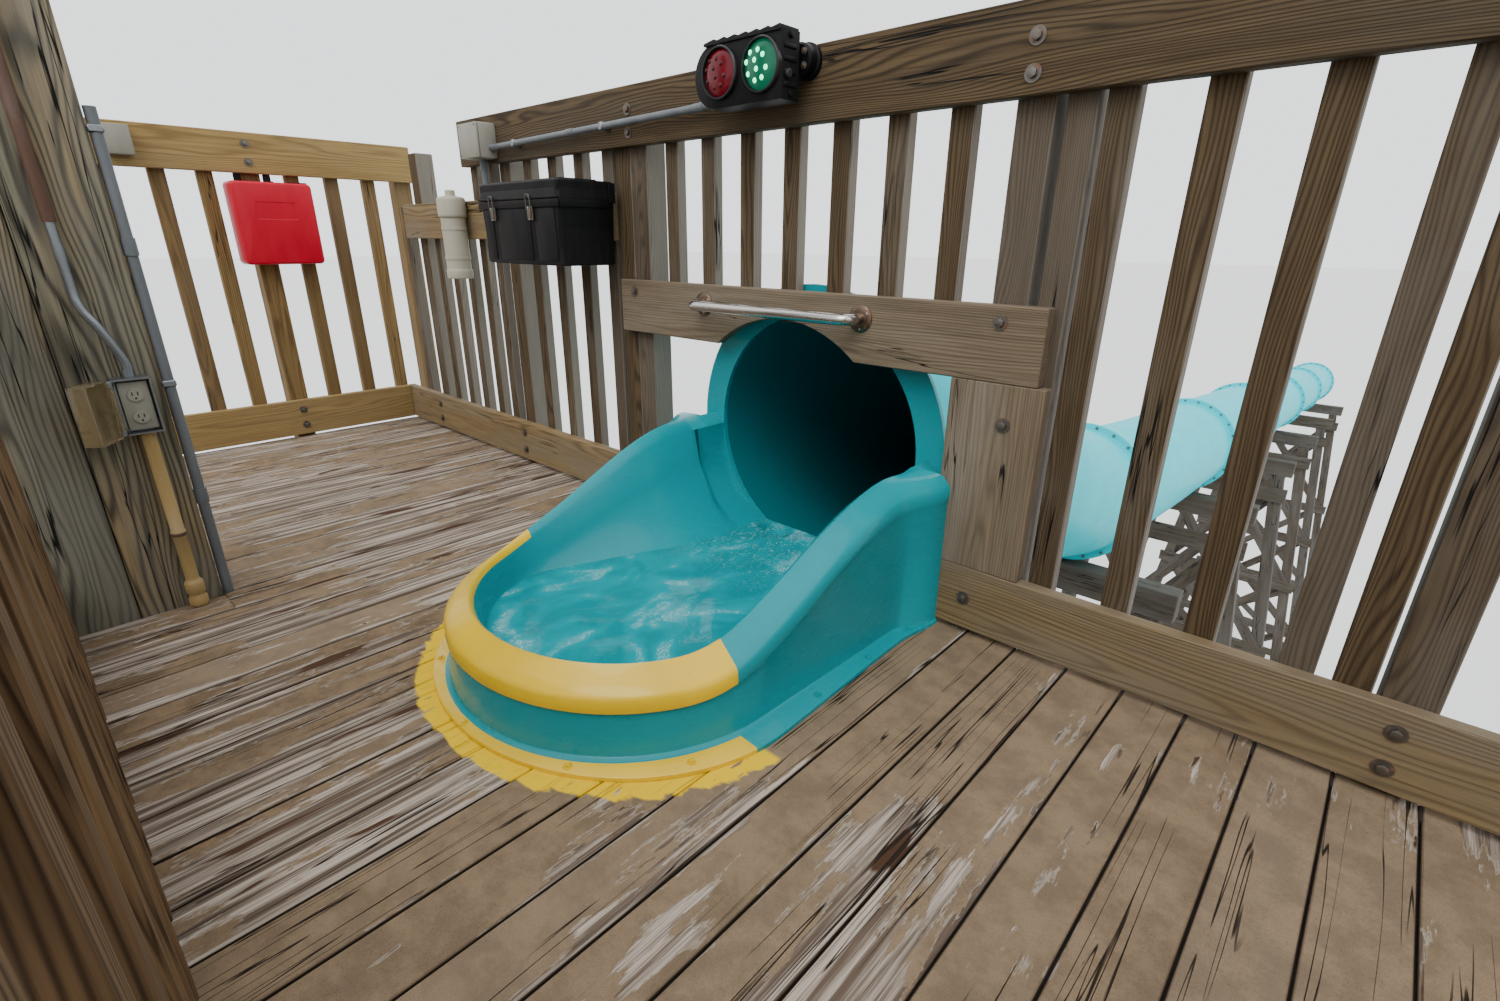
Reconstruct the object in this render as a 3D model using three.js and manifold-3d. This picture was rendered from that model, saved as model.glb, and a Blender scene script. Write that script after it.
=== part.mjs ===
// Timber water slide tower: a railed start deck on braced legs, with a start tub, an enclosed flume
// that leaves through the rail, and the timber bents that carry the flume.
//
// Units are millimetres, +Z is up. Lengths below are in the deck's own axes: X runs along the rail
// that the slide goes through, Y points the way the slide leaves, and Z is 0 on the deck boards.
// The whole group is shifted at the end, so that the origin is the foot of one main column timber.

import * as THREE from 'three';
import * as BufferGeometryUtils from 'three/addons/utils/BufferGeometryUtils.js';
import Module from 'manifold-3d';

const wasm = await Module();
wasm.setup();

// Heights of the deck
const DECK_HEIGHT = 9000;
const GROUND = -DECK_HEIGHT;
const SEAT_GAP = 0.3;
const SINK = 1;

// Lumber sizes
const BOARD = 38;
const PICKET_WIDE = 64;
const PICKET_DEEP = 38;
const POST = 89;
const LEG = 190;
const COLUMN = 228;
const COLUMN_SLIDE_DEEP = 198;
const BENT_TIMBER = 140;
const BRACE_WIDE = 184;

// Inner faces of the rails, and the spacing of their posts
const SLIDE_FACE = 1688;
const LANDING_FACE = -1480;
const FAR_FACE = -4368;
const RIGHT_FACE = 2410;
const NEAR_FACE = -108;
const PICKET_PITCH = 180;

// Heights of the rails' boards
const KICK = [16, 204];
const TOP_RAIL = [1351, 1536];
const END_TOP_RAIL = [1336, 1519];
const LOW_BOARD = [1041, 1208];
const HEADER = [720, 908];
const NEAR_TOP_RAIL = [852, 1037];
const PICKET_FOOT = 20;
const POST_FOOT = -270;

// How far uprights stop short of the top edge of the board that they are nailed to
const POST_DROP = 20;
const PICKET_DROP = 36;
const LOW_DROP = 6;

// Deck and its frame
const DECK_THICK = 38;
const JOIST_DEEP = 235;
const BEAM_DEEP = 286;
const BEAM_WIDE = 76;
const DECK_EDGE = { left: FAR_FACE - BOARD + SEAT_GAP, right: RIGHT_FACE + BOARD - SEAT_GAP,
  back: LANDING_FACE - BOARD + SEAT_GAP, front: SLIDE_FACE + BOARD - SEAT_GAP };
const JOIST_TOP = -DECK_THICK - SEAT_GAP;
const BEAM_TOP = JOIST_TOP - JOIST_DEEP;
const BEAM_FOOT = BEAM_TOP - BEAM_DEEP;

// Main columns: two timbers side by side, at the same distance from the middle of the deck
const COLUMN_LEFT_X = -2633;
const COLUMN_RIGHT_X = 670;
const COLUMN_NEAR_Y = -11;
const COLUMN_SLIDE_Y = 205;
const COLUMN_TOP = 2600;
const COLUMN_FACE = COLUMN_LEFT_X + COLUMN / 2;

// Outer legs and the levels of their bracing
const LEG_X = [-4250, -980, 2290];
const BRACE_LEVELS = [-700, -2650, -4600, -6550, -8500];

// The start tub and the flume
const SLIDE_X = -1365;
const TUB = { halfWidth: 490, depth: 452, middleY: 1000, endY: 1770 };
const BORE = 397;
const TUBE = 411;
const FLANGE = 455;
const FLANGE_THICK = 25;
const COLLAR_OUTER = 488;
const COLLAR_THICK = 15;
const COLLAR_Z = 437;
const FLUME_START_Y = TUB.endY + SEAT_GAP + COLLAR_THICK + SEAT_GAP;
const FLUME_POINTS = [
  [FLUME_START_Y, COLLAR_Z], [1850, COLLAR_Z], [2300, 350], [3200, -10], [4000, -310], [4650, -500],
  [6200, -700], [7815, -832], [10962, -1113], [14109, -1394], [17256, -1675], [20403, -1956],
];
const SECTION_ENDS_Y = [FLUME_START_Y, 4650, 7815, 10962, 14109, 17256, 20403];
const ROUND_STEPS = 28;

// Bents under the flume's joints
const BENT_SPREAD = 600;
const BENT_BATTER = 1 / 8;
const BENT_CAP = 190;
const BENT_CAP_END = 150;
const BENT_CLEAR = 0.8;
const BENT_STOREY = 2200;
const BENT_END = 250;
const BENT_BOARD_END = 120;
const BENT_CROSS_WIDE = 140;

// Helpers for solids

// A closed geometry as a solid that can be joined and cut.
function solidOf(geometry) {
  const bare = geometry.clone();
  bare.deleteAttribute('normal');
  bare.deleteAttribute('uv');
  const merged = BufferGeometryUtils.mergeVertices(bare, 1e-4);
  return new wasm.Manifold(new wasm.Mesh({
    numProp: 3,
    vertProperties: new Float32Array(merged.attributes.position.array),
    triVerts: new Uint32Array(merged.index.array),
  }));
}

// The geometry of a solid.
function geometryOf(solid) {
  const mesh = solid.getMesh();
  const geometry = new THREE.BufferGeometry();
  geometry.setAttribute('position', new THREE.BufferAttribute(new Float32Array(mesh.vertProperties), 3));
  geometry.setIndex(new THREE.BufferAttribute(new Uint32Array(mesh.triVerts), 1));
  geometry.computeVertexNormals();
  return geometry;
}

// One geometry from several that touch or cross.
function join(geometries) {
  return geometryOf(geometries.map(solidOf).reduce((all, next) => all.add(next)));
}

// A geometry with others cut out of it.
function cut(geometry, tools) {
  return geometryOf(tools.map(solidOf).reduce((rest, tool) => rest.subtract(tool), solidOf(geometry)));
}

// A box between two corners, which may be given in any order.
function box(x0, x1, y0, y1, z0, z1) {
  const geometry = new THREE.BoxGeometry(Math.abs(x1 - x0), Math.abs(y1 - y0), Math.abs(z1 - z0));
  return geometry.translate((x0 + x1) / 2, (y0 + y1) / 2, (z0 + z1) / 2);
}

// A flat shape drawn in X and Z, with its thickness from y0 to y1.
function plateXZ(shape, y0, y1, curveSegments = 24) {
  const geometry = new THREE.ExtrudeGeometry(shape, { depth: y1 - y0, bevelEnabled: false, curveSegments });
  return geometry.rotateX(Math.PI / 2).translate(0, y1, 0);
}

// A straight-edged shape from its corners.
function polygon(points) {
  return new THREE.Shape(points.map(([x, y]) => new THREE.Vector2(x, y)));
}

// A board between two points in the X and Z plane, of a given width, with its thickness from y0 to y1.
function boardXZ(from, to, width, y0, y1) {
  const along = new THREE.Vector2(to[0] - from[0], to[1] - from[1]).normalize().multiplyScalar(width / 2);
  const corners = [
    [from[0] + along.y, from[1] - along.x], [to[0] + along.y, to[1] - along.x],
    [to[0] - along.y, to[1] + along.x], [from[0] - along.y, from[1] + along.x],
  ];
  return plateXZ(polygon(corners), y0, y1);
}

// A round bar along a smooth line of points.
function bar(points, radius, sides = 12, steps = 24, corner = 'catmullrom') {
  const line = points.length === 2
    ? new THREE.LineCurve3(new THREE.Vector3(...points[0]), new THREE.Vector3(...points[1]))
    : new THREE.CatmullRomCurve3(points.map((p) => new THREE.Vector3(...p)), false, corner, 0.5);
  const circle = new THREE.Shape().absarc(0, 0, radius, 0, Math.PI * 2);
  return new THREE.ExtrudeGeometry(circle, {
    extrudePath: line, steps: points.length === 2 ? 1 : steps, curveSegments: sides / 2, bevelEnabled: false,
  });
}

// A round piece from its radius and height pairs, standing up on Z at a place.
function turned(profile, x, y, z, segments = 24) {
  const geometry = new THREE.LatheGeometry(profile.map(([r, h]) => new THREE.Vector2(r, h)), segments);
  return geometry.rotateX(Math.PI / 2).translate(x, y, z);
}

// Colours and finishes
const finish = (color, roughness, metalness = 0) => ({ color, roughness, metalness });
const FINISH = {
  deck: finish(0x9a8268, 0.95),
  frame: finish(0x7c6f5c, 0.95),
  rail: finish(0x8a683f, 0.85),
  column: finish(0x4f4a3d, 0.95),
  trestle: finish(0x8c867c, 0.95),
  tub: finish(0x1b9a9c, 0.3),
  flume: finish(0x5fd3e0, 0.3),
  steel: finish(0xb9b4ac, 0.35, 0.9),
  black: finish(0x1c1d1f, 0.6),
  red: finish(0xb01020, 0.4),
  redLens: finish(0x7d0a18, 0.2),
  greenLens: finish(0x0c7a4c, 0.2),
  grey: finish(0x8b9093, 0.6),
  galvanised: finish(0x9aa0a3, 0.45, 0.8),
  beige: finish(0xc9c2a6, 0.6),
  amber: finish(0xd8c48a, 0.4),
};

const tower = new THREE.Group();

// Adds a named piece with its own material.
function add(name, geometry, look) {
  const mesh = new THREE.Mesh(geometry, new THREE.MeshStandardMaterial(look));
  mesh.name = name;
  tower.add(mesh);
  return mesh;
}

// Deck: one sheet of boards with two holes for the main columns
const COLUMN_HOLE_CLEAR = 3;

function deckSheet() {
  const { left, right, back, front } = DECK_EDGE;
  const reach = COLUMN / 2 + COLUMN_HOLE_CLEAR;
  const far = COLUMN_SLIDE_Y + COLUMN_SLIDE_DEEP / 2 + COLUMN_HOLE_CLEAR;
  const holes = [COLUMN_LEFT_X, COLUMN_RIGHT_X].map((x) => box(
    x - reach, x + reach, COLUMN_NEAR_Y - reach, far, -2 * DECK_THICK, DECK_THICK,
  ));
  return cut(box(left, right, back, front, -DECK_THICK, 0), holes);
}

// Deck frame: rim joists, joists along X, and beams along Y under them
const JOIST_Y = [-1100, -700, -300, 450, 850, 1250];
const LAP = 20;

function deckFrame() {
  const { left, right, back, front } = DECK_EDGE;
  const rectangle = (x0, x1, y0, y1) => [[x0, y0], [x1, y0], [x1, y1], [x0, y1]];
  const plan = polygon(rectangle(left, right, back, front));
  const joists = [back, ...JOIST_Y, front - BOARD];
  for (let i = 0; i + 1 < joists.length; i += 1) {
    plan.holes.push(polygon(rectangle(left + BOARD, right - BOARD, joists[i] + BOARD, joists[i + 1])));
  }
  const grid = new THREE.ExtrudeGeometry(plan, { depth: JOIST_DEEP, bevelEnabled: false });
  const beam = (x) => box(x, x + BEAM_WIDE, back + LAP, front - LAP, BEAM_FOOT, BEAM_TOP + SINK);
  const beams = LEG_X.map((x) => beam(x - BEAM_WIDE / 2));
  for (const x of [COLUMN_LEFT_X, COLUMN_RIGHT_X]) {
    beams.push(beam(x - COLUMN / 2 - SEAT_GAP - BEAM_WIDE), beam(x + COLUMN / 2 + SEAT_GAP));
  }
  return join([grid.translate(0, 0, BEAM_TOP), ...beams]);
}

add('deck', deckSheet(), FINISH.deck);
add('deck_frame', deckFrame(), FINISH.frame);

// Main columns, from the ground to above the rails
const COLUMN_ROWS = [['near', COLUMN_NEAR_Y, COLUMN], ['slide', COLUMN_SLIDE_Y, COLUMN_SLIDE_DEEP]];
for (const [side, x] of [['left', COLUMN_LEFT_X], ['right', COLUMN_RIGHT_X]]) {
  for (const [row, y, deep] of COLUMN_ROWS) {
    const timber = new THREE.BoxGeometry(COLUMN, deep, COLUMN_TOP - GROUND);
    const mesh = add(`main_column_${side}_${row}`, timber, FINISH.column);
    mesh.position.set(x, y, (COLUMN_TOP + GROUND) / 2);
  }
}

// Level boards and crossed boards over a row of uprights, drawn in X and Z
function bracing(uprights, levels, y0, y1) {
  const half = LEG / 2;
  const ends = [uprights[0] - half, uprights[uprights.length - 1] + half];
  const pieces = levels.map((z) => boardXZ([ends[0], z], [ends[1], z], BRACE_WIDE, y0, y1));
  for (let bay = 0; bay + 1 < uprights.length; bay += 1) {
    for (let storey = 0; storey + 1 < levels.length; storey += 1) {
      const [left, right] = [uprights[bay], uprights[bay + 1]];
      const [top, foot] = [levels[storey], levels[storey + 1]];
      pieces.push(boardXZ([left, top], [right, foot], BRACE_WIDE, y0, y1));
      pieces.push(boardXZ([left, foot], [right, top], BRACE_WIDE, y0, y1));
    }
  }
  return pieces;
}

// A braced side of the tower: a leg under each beam, with boards on the legs' outer faces. The legs in line
// with the main columns are as wide as those, and stand between the two beams up to the joists.
const SIDE_LEGS = [
  ...LEG_X.map((x) => ({ x, wide: LEG, top: BEAM_FOOT - SEAT_GAP })),
  ...[COLUMN_LEFT_X, COLUMN_RIGHT_X].map((x) => ({ x, wide: COLUMN, top: BEAM_TOP - SEAT_GAP })),
].sort((a, b) => a.x - b.x);

function sideFrame(outerFace, outward) {
  const inner = outerFace - outward * LEG;
  const boards = [outerFace - outward * SINK, outerFace + outward * BOARD].sort((a, b) => a - b);
  const legs = SIDE_LEGS.map(({ x, wide, top }) => (
    box(x - wide / 2, x + wide / 2, inner, outerFace, GROUND, top)
  ));
  return join([...legs, ...bracing(SIDE_LEGS.map(({ x }) => x), BRACE_LEVELS, ...boards)]);
}

const SLIDE_LEG_FACE = SLIDE_FACE - 1;
const LANDING_LEG_FACE = LANDING_FACE + 1;
const MIDDLE_LEG_Y = (COLUMN_NEAR_Y + COLUMN_SLIDE_Y) / 2;
add('slide_side_frame', sideFrame(SLIDE_LEG_FACE, 1), FINISH.frame);
add('landing_side_frame', sideFrame(LANDING_LEG_FACE, -1), FINISH.frame);

// A braced end: a middle leg, and boards over it and over the outer faces of the side frames' end legs. It is
// drawn facing the viewer and then turned a quarter turn, so its Y becomes the part's X with its sign changed.
function endFrame(legX, outward) {
  const uprights = [LANDING_LEG_FACE + LEG / 2, MIDDLE_LEG_Y, SLIDE_LEG_FACE - LEG / 2];
  const face = -(legX + outward * LEG / 2);
  const span = [face - outward * SEAT_GAP, face - outward * (SEAT_GAP + BOARD)].sort((a, b) => a - b);
  const leg = box(
    MIDDLE_LEG_Y - LEG / 2, MIDDLE_LEG_Y + LEG / 2, face + outward * LEG, face - outward * SINK,
    GROUND, BEAM_FOOT - SEAT_GAP,
  );
  return join([leg, ...bracing(uprights, BRACE_LEVELS, ...span)]).rotateZ(Math.PI / 2);
}

add('far_end_frame', endFrame(LEG_X[0], -1), FINISH.frame);
add('right_end_frame', endFrame(LEG_X[2], 1), FINISH.frame);
add('middle_leg', box(
  LEG_X[1] - LEG / 2, LEG_X[1] + LEG / 2, MIDDLE_LEG_Y - LEG / 2, MIDDLE_LEG_Y + LEG / 2,
  GROUND, BEAM_FOOT - SEAT_GAP,
), FINISH.frame);

// Rails

// A rail runs along one axis. across counts outwards from the inner face of its boards.
const RAIL = {
  slide: { axis: 'x', face: SLIDE_FACE, outward: 1 },
  landing: { axis: 'x', face: LANDING_FACE, outward: -1 },
  near: { axis: 'x', face: NEAR_FACE, outward: 1 },
  far: { axis: 'y', face: FAR_FACE, outward: -1 },
  right: { axis: 'y', face: RIGHT_FACE, outward: 1 },
};

function railBox(rail, along, across, heights) {
  const depth = across.map((distance) => rail.face + rail.outward * distance);
  return rail.axis === 'x' ? box(...along, ...depth, ...heights) : box(...depth, ...along, ...heights);
}

const railBoard = (rail, from, to, heights) => railBox(rail, [from, to], [0, BOARD], heights);

// An upright just behind the boards, with a thin block at each board that it is nailed to.
function nailed(rail, centre, wide, deep, heights, boards) {
  const half = wide / 2;
  return [
    railBox(rail, [centre - half, centre + half], [BOARD + SEAT_GAP, BOARD + deep], heights),
    ...boards.map(([foot, top]) => railBox(
      rail, [centre - half + SINK, centre + half - SINK], [BOARD - SINK, BOARD + SINK],
      [Math.max(foot, heights[0]) + SINK, Math.min(top, heights[1]) - SINK],
    )),
  ];
}

const nailedPost = (rail, centre, top, boards) => nailed(rail, centre, POST, POST, [POST_FOOT, top], boards);
const nailedPicket = (rail, centre, heights, boards) => nailed(
  rail, centre, PICKET_WIDE, PICKET_DEEP, heights, boards,
);

// Pickets at an even spacing between two places, which have uprights of their own.
function nailedPickets(rail, from, to, heights, boards) {
  const bays = Math.round(Math.abs(to - from) / PICKET_PITCH);
  const places = Array.from({ length: bays - 1 }, (_, i) => from + (to - from) * (i + 1) / bays);
  return places.flatMap((place) => nailedPicket(rail, place, heights, boards));
}

// A closed rail panel: kick board, top board, posts and pickets. stops are the posts and the pickets' ends.
function railPanel(rail, { from, to, kickFrom = from, kickTo = to, posts, stops, top }) {
  const boards = [KICK, top];
  const pieces = [
    railBoard(rail, kickFrom, kickTo, KICK),
    railBoard(rail, from, to, top),
    ...posts.flatMap((post) => nailedPost(rail, post, top[1] - POST_DROP, boards)),
  ];
  for (let i = 0; i + 1 < stops.length; i += 1) {
    pieces.push(...nailedPickets(rail, stops[i], stops[i + 1], [PICKET_FOOT, top[1] - PICKET_DROP], boards));
  }
  return join(pieces);
}

// Slide rail: posts left and right of the mouth, and the pieces over it
const MOUTH_LEFT_POST = -2138;
const MOUTH_RIGHT_POST = -730;
const SLIDE_POSTS_LEFT = [-3972, -3058];
const SLIDE_POSTS_RIGHT = [185, 1099, 2013];
const TOP_RAIL_LEFT = -3376;
const FIRST_TALL_PICKET = -3336;
const LOW_BOARD_SPAN = [-4091, -2271];
const HEADER_SPAN = [-2226, -618];
const NOTCH = { x: -1430, z: 385, radius: 435 };
const WIDE_BOARD = [-844, -596];
const POST_TOP = 1450;
const PICKET_TOP = 1500;

const TALL = [PICKET_FOOT, PICKET_TOP];
const LOW = [PICKET_FOOT, LOW_BOARD[1] - LOW_DROP];
const SECOND_TIMBER = { x: -628, wide: 68 };
const KICK_END = 56;
const HEADER_LAP = 100;

const slideRailLeft = join([
  railBoard(RAIL.slide, FAR_FACE - BOARD + SEAT_GAP, SLIDE_X - TUB.halfWidth - KICK_END, KICK),
  railBoard(RAIL.slide, ...LOW_BOARD_SPAN, LOW_BOARD),
  ...SLIDE_POSTS_LEFT.flatMap((post) => nailedPost(RAIL.slide, post, POST_TOP, [KICK, LOW_BOARD])),
  ...[MOUTH_LEFT_POST, MOUTH_LEFT_POST - POST + SINK].flatMap((post) => (
    nailedPost(RAIL.slide, post, PICKET_TOP, [KICK])
  )),
  ...nailedPickets(RAIL.slide, FAR_FACE, SLIDE_POSTS_LEFT[0], LOW, [KICK]),
  ...nailedPickets(RAIL.slide, SLIDE_POSTS_LEFT[0], FIRST_TALL_PICKET, LOW, [KICK, LOW_BOARD]),
  ...nailedPicket(RAIL.slide, FIRST_TALL_PICKET, TALL, [KICK, LOW_BOARD]),
  ...nailedPickets(RAIL.slide, FIRST_TALL_PICKET, SLIDE_POSTS_LEFT[1], TALL, [KICK, LOW_BOARD]),
  ...nailedPickets(RAIL.slide, SLIDE_POSTS_LEFT[1], MOUTH_LEFT_POST, TALL, [KICK]),
]);

const headerShape = new THREE.Shape();
const notchStart = Math.PI / 2 + Math.acos((HEADER[0] - NOTCH.z) / NOTCH.radius);
headerShape.moveTo(HEADER_SPAN[0], HEADER[0]);
headerShape.absarc(NOTCH.x, NOTCH.z, NOTCH.radius, notchStart, Math.PI - notchStart, true);
headerShape.lineTo(HEADER_SPAN[1], HEADER[0]);
headerShape.lineTo(HEADER_SPAN[1], HEADER[1]);
headerShape.lineTo(HEADER_SPAN[0], HEADER[1]);
headerShape.closePath();

const OVER_MOUTH = [HEADER[1] - HEADER_LAP, PICKET_TOP];
const slideHeader = join([
  plateXZ(headerShape, SLIDE_FACE, SLIDE_FACE + BOARD, 12),
  ...nailedPickets(RAIL.slide, MOUTH_LEFT_POST, MOUTH_RIGHT_POST, OVER_MOUTH, [HEADER]),
]);

const rightStops = [MOUTH_RIGHT_POST, ...SLIDE_POSTS_RIGHT, RIGHT_FACE];
const slideRailRight = join([
  railBoard(RAIL.slide, SLIDE_X + TUB.halfWidth + KICK_END, RIGHT_FACE - SEAT_GAP, KICK),
  railBoard(RAIL.slide, ...WIDE_BOARD, [KICK[1] - SINK, HEADER[0] - SEAT_GAP]),
  ...nailedPost(RAIL.slide, MOUTH_RIGHT_POST, PICKET_TOP, [KICK]),
  ...nailed(RAIL.slide, SECOND_TIMBER.x, SECOND_TIMBER.wide, POST, TALL, [KICK]),
  ...SLIDE_POSTS_RIGHT.flatMap((post) => nailedPost(RAIL.slide, post, PICKET_TOP, [KICK])),
  ...rightStops.slice(1).flatMap((stop, i) => nailedPickets(RAIL.slide, rightStops[i], stop, TALL, [KICK])),
]);

add('slide_top_rail', railBoard(RAIL.slide, TOP_RAIL_LEFT, RIGHT_FACE - SEAT_GAP, TOP_RAIL), FINISH.rail);
add('slide_rail_left', slideRailLeft, FINISH.rail);
add('slide_header', slideHeader, FINISH.rail);
add('slide_rail_right', slideRailRight, FINISH.rail);

// End rails and the landing side's rails
const END_POSTS = [-1634, -731, 183, 1097, 1842];
const endRail = {
  from: END_POSTS[0] - POST / 2, to: END_POSTS[4] + POST / 2, top: END_TOP_RAIL,
  kickFrom: LANDING_FACE + SEAT_GAP, kickTo: SLIDE_FACE - SEAT_GAP, stops: END_POSTS,
};
const CORNER_FOOT = 30;

// The corner posts stand clear of the kick board's ends, so they hang from the top board alone.
function endRailPanel(rail) {
  const corners = [END_POSTS[0], END_POSTS[4]];
  return join([
    railPanel(rail, { ...endRail, posts: END_POSTS.slice(1, 4) }),
    ...corners.flatMap((post) => nailed(
      rail, post, POST, POST, [POST_FOOT + CORNER_FOOT, END_TOP_RAIL[1] - PICKET_DROP], [END_TOP_RAIL],
    )),
  ]);
}

add('far_rail', endRailPanel(RAIL.far), FINISH.rail);
add('right_end_rail', endRailPanel(RAIL.right), FINISH.rail);

const ENTRANCE = [-316, 1099];
const LANDING_POSTS_LEFT = [-3972, -3058, -2144, -1230, ENTRANCE[0]];
const LANDING_POSTS_RIGHT = [ENTRANCE[1], 2013];
add('landing_rail_left', railPanel(RAIL.landing, {
  from: FAR_FACE + SEAT_GAP, to: ENTRANCE[0] + POST / 2, kickFrom: FAR_FACE - BOARD + 2 * SINK,
  posts: LANDING_POSTS_LEFT, stops: [FAR_FACE, ...LANDING_POSTS_LEFT], top: TOP_RAIL,
}), FINISH.rail);
add('landing_rail_right', railPanel(RAIL.landing, {
  from: ENTRANCE[1] - POST / 2, to: RIGHT_FACE - SEAT_GAP, kickTo: RIGHT_FACE + BOARD - 2 * SINK,
  posts: LANDING_POSTS_RIGHT, stops: [...LANDING_POSTS_RIGHT, RIGHT_FACE], top: TOP_RAIL,
}), FINISH.rail);

// Near rail between the main columns, with its two posts on the landing side
const NEAR_SPAN = [COLUMN_FACE + SEAT_GAP, COLUMN_RIGHT_X - COLUMN / 2 - SEAT_GAP];
const NEAR_POSTS = [-1494, -469];
const NEAR_TOP = NEAR_TOP_RAIL[1] - LOW_DROP;
add('near_rail', join([
  railBoard(RAIL.near, ...NEAR_SPAN, KICK),
  railBoard(RAIL.near, ...NEAR_SPAN, NEAR_TOP_RAIL),
  ...nailedPickets(RAIL.near, ...NEAR_SPAN, [PICKET_FOOT, NEAR_TOP], [KICK, NEAR_TOP_RAIL]),
  ...NEAR_POSTS.map((post) => railBox(
    RAIL.near, [post - POST / 2, post + POST / 2], [-POST, SINK], [SEAT_GAP, NEAR_TOP],
  )),
]), FINISH.rail);

// Start tub: a horseshoe wall with a rolled rim, a flange on the deck, and a floor

// The tub's wall turns from the round front into the trough that meets the collar. Just before the rail
// its outside flares into a wide flat top, and past the rail's face it is narrow again. The inside steps
// out once.
const TROUGH_TURN = [800, 1570];
const FLARE_TURN = [1520, 1686];
const FLARE_END = 1687;
const FLARE_STEP = 0.6;
const TUB_STEP = { from: 1622, to: 1636, out: 26 };
const TUB_SIDE_Y = [
  TUB.endY, FLARE_END + FLARE_STEP, FLARE_END, 1660, TUB_STEP.to, TUB_STEP.from,
  1570, 1490, 1400, 1300, 1200, 1100,
];
const TUB_ROUND = 11;

// The rings of the tub from its foot, up the outside, over the rim and down the inside.
// half and z are the half width and the height at the front, at the collar and at the flare. front is the
// reach in front of the tub's middle.
const circleHalf = (z) => Math.sqrt(BORE ** 2 - (z - COLLAR_Z) ** 2);
const TUB_RINGS = [
  { half: [556, 540, 560], front: 490, z: [SEAT_GAP, SEAT_GAP, SEAT_GAP] },
  { half: [556, 540, 560], front: 490, z: [11, 11, 11] },
  { half: [500, 512, 554], front: 468, z: [14, 14, 14] },
  { half: [478, 498, 552], front: 444, z: [122, 360, 376] },
  { half: [TUB.halfWidth, 500, 556], front: TUB.depth, z: [128, 372, 388] },
  { half: [488, 498, 556], front: 450, z: [160, 402, 419] },
  { half: [460, 470, 532], front: 425, z: [184, 428, 448] },
  { half: [424, 436, 458], front: 391, z: [210, 455, 456] },
  { half: [416, 428, 447], front: 384, z: [205, 450, 452] },
  { half: [398, circleHalf(300), circleHalf(300)], front: 364, z: [125, 300, 300], stepped: true },
  { half: [388, circleHalf(180), circleHalf(180)], front: 352, z: [85, 180, 180], stepped: true },
  { half: [366, circleHalf(110), circleHalf(110)], front: 330, z: [68, 110, 110] },
  { half: [322, circleHalf(62), circleHalf(62)], front: 288, z: [62, 62, 62] },
];

// The horseshoe's stations from the collar on the right, round the front, to the collar on the left.
function tubStations() {
  const stations = TUB_SIDE_Y.map((y) => ({ side: 1, reach: 0, y }));
  for (let i = 0; i < TUB_ROUND; i += 1) {
    const angle = (Math.PI / 2) * (i + 0.5) / (TUB_ROUND + 0.5);
    stations.push({ side: Math.cos(angle), reach: Math.sin(angle), y: TUB.middleY });
  }
  const mirrored = stations.slice().reverse().map(({ side, reach, y }) => ({ side: -side, reach, y }));
  return [...stations, ...mirrored];
}

// A value of a ring at a station, blended from its values at the front, at the collar and at the flare.
function blended([front, collar, flare], { reach, y }) {
  const share = THREE.MathUtils.smoothstep(y - reach * TUB.depth, ...TROUGH_TURN);
  const flared = y > FLARE_END ? 0 : THREE.MathUtils.smoothstep(y, ...FLARE_TURN);
  return THREE.MathUtils.lerp(THREE.MathUtils.lerp(front, collar, share), flare, flared);
}

function tubGeometry() {
  const stations = tubStations();
  const count = stations.length;
  const positions = [];
  for (const ring of TUB_RINGS) {
    for (const station of stations) {
      const step = ring.stepped && station.y >= TUB_STEP.to ? TUB_STEP.out : 0;
      const half = station.side * (blended(ring.half, station) + step);
      positions.push(SLIDE_X + half, station.y - station.reach * ring.front, blended(ring.z, station));
    }
  }
  const at = (ring, station) => ring * count + station;
  const faces = [];
  const quad = (a, b, c, d) => faces.push(a, b, c, a, c, d);
  const last = TUB_RINGS.length - 1;
  for (let ring = 0; ring < last; ring += 1) {
    for (let i = 0; i + 1 < count; i += 1) {
      quad(at(ring, i), at(ring + 1, i), at(ring + 1, i + 1), at(ring, i + 1));
    }
  }
  for (let i = 0; i <= count / 2 - 2; i += 1) {
    quad(at(last, i + 1), at(last, i), at(last, count - 1 - i), at(last, count - 2 - i));
    quad(at(0, i), at(0, i + 1), at(0, count - 2 - i), at(0, count - 1 - i));
  }
  const outline = TUB_RINGS.map((_, ring) => at(ring, count - 1));
  outline.push(...TUB_RINGS.map((_, ring) => at(last - ring, 0)));
  const flat = outline.map((i) => new THREE.Vector2(positions[3 * i], positions[3 * i + 2]));
  for (const [a, b, c] of THREE.ShapeUtils.triangulateShape(flat, [])) {
    const turn = flat[b].clone().sub(flat[a]).cross(flat[c].clone().sub(flat[a]));
    faces.push(...(turn > 0 ? [outline[a], outline[c], outline[b]] : [outline[a], outline[b], outline[c]]));
  }
  const geometry = new THREE.BufferGeometry();
  geometry.setAttribute('position', new THREE.Float32BufferAttribute(positions, 3));
  geometry.setIndex(faces);
  geometry.computeVertexNormals();
  return geometry;
}

add('tub', tubGeometry(), FINISH.tub);

// A ring of rectangular section round Y, from one radius to another and from y0 to y1
function ringY(inner, outer, y0, y1, x, z) {
  const profile = [[inner, y0], [outer, y0], [outer, y1], [inner, y1], [inner, y0]];
  const geometry = new THREE.LatheGeometry(profile.map(([r, h]) => new THREE.Vector2(r, h)), ROUND_STEPS);
  return geometry.translate(x, 0, z);
}

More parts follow.
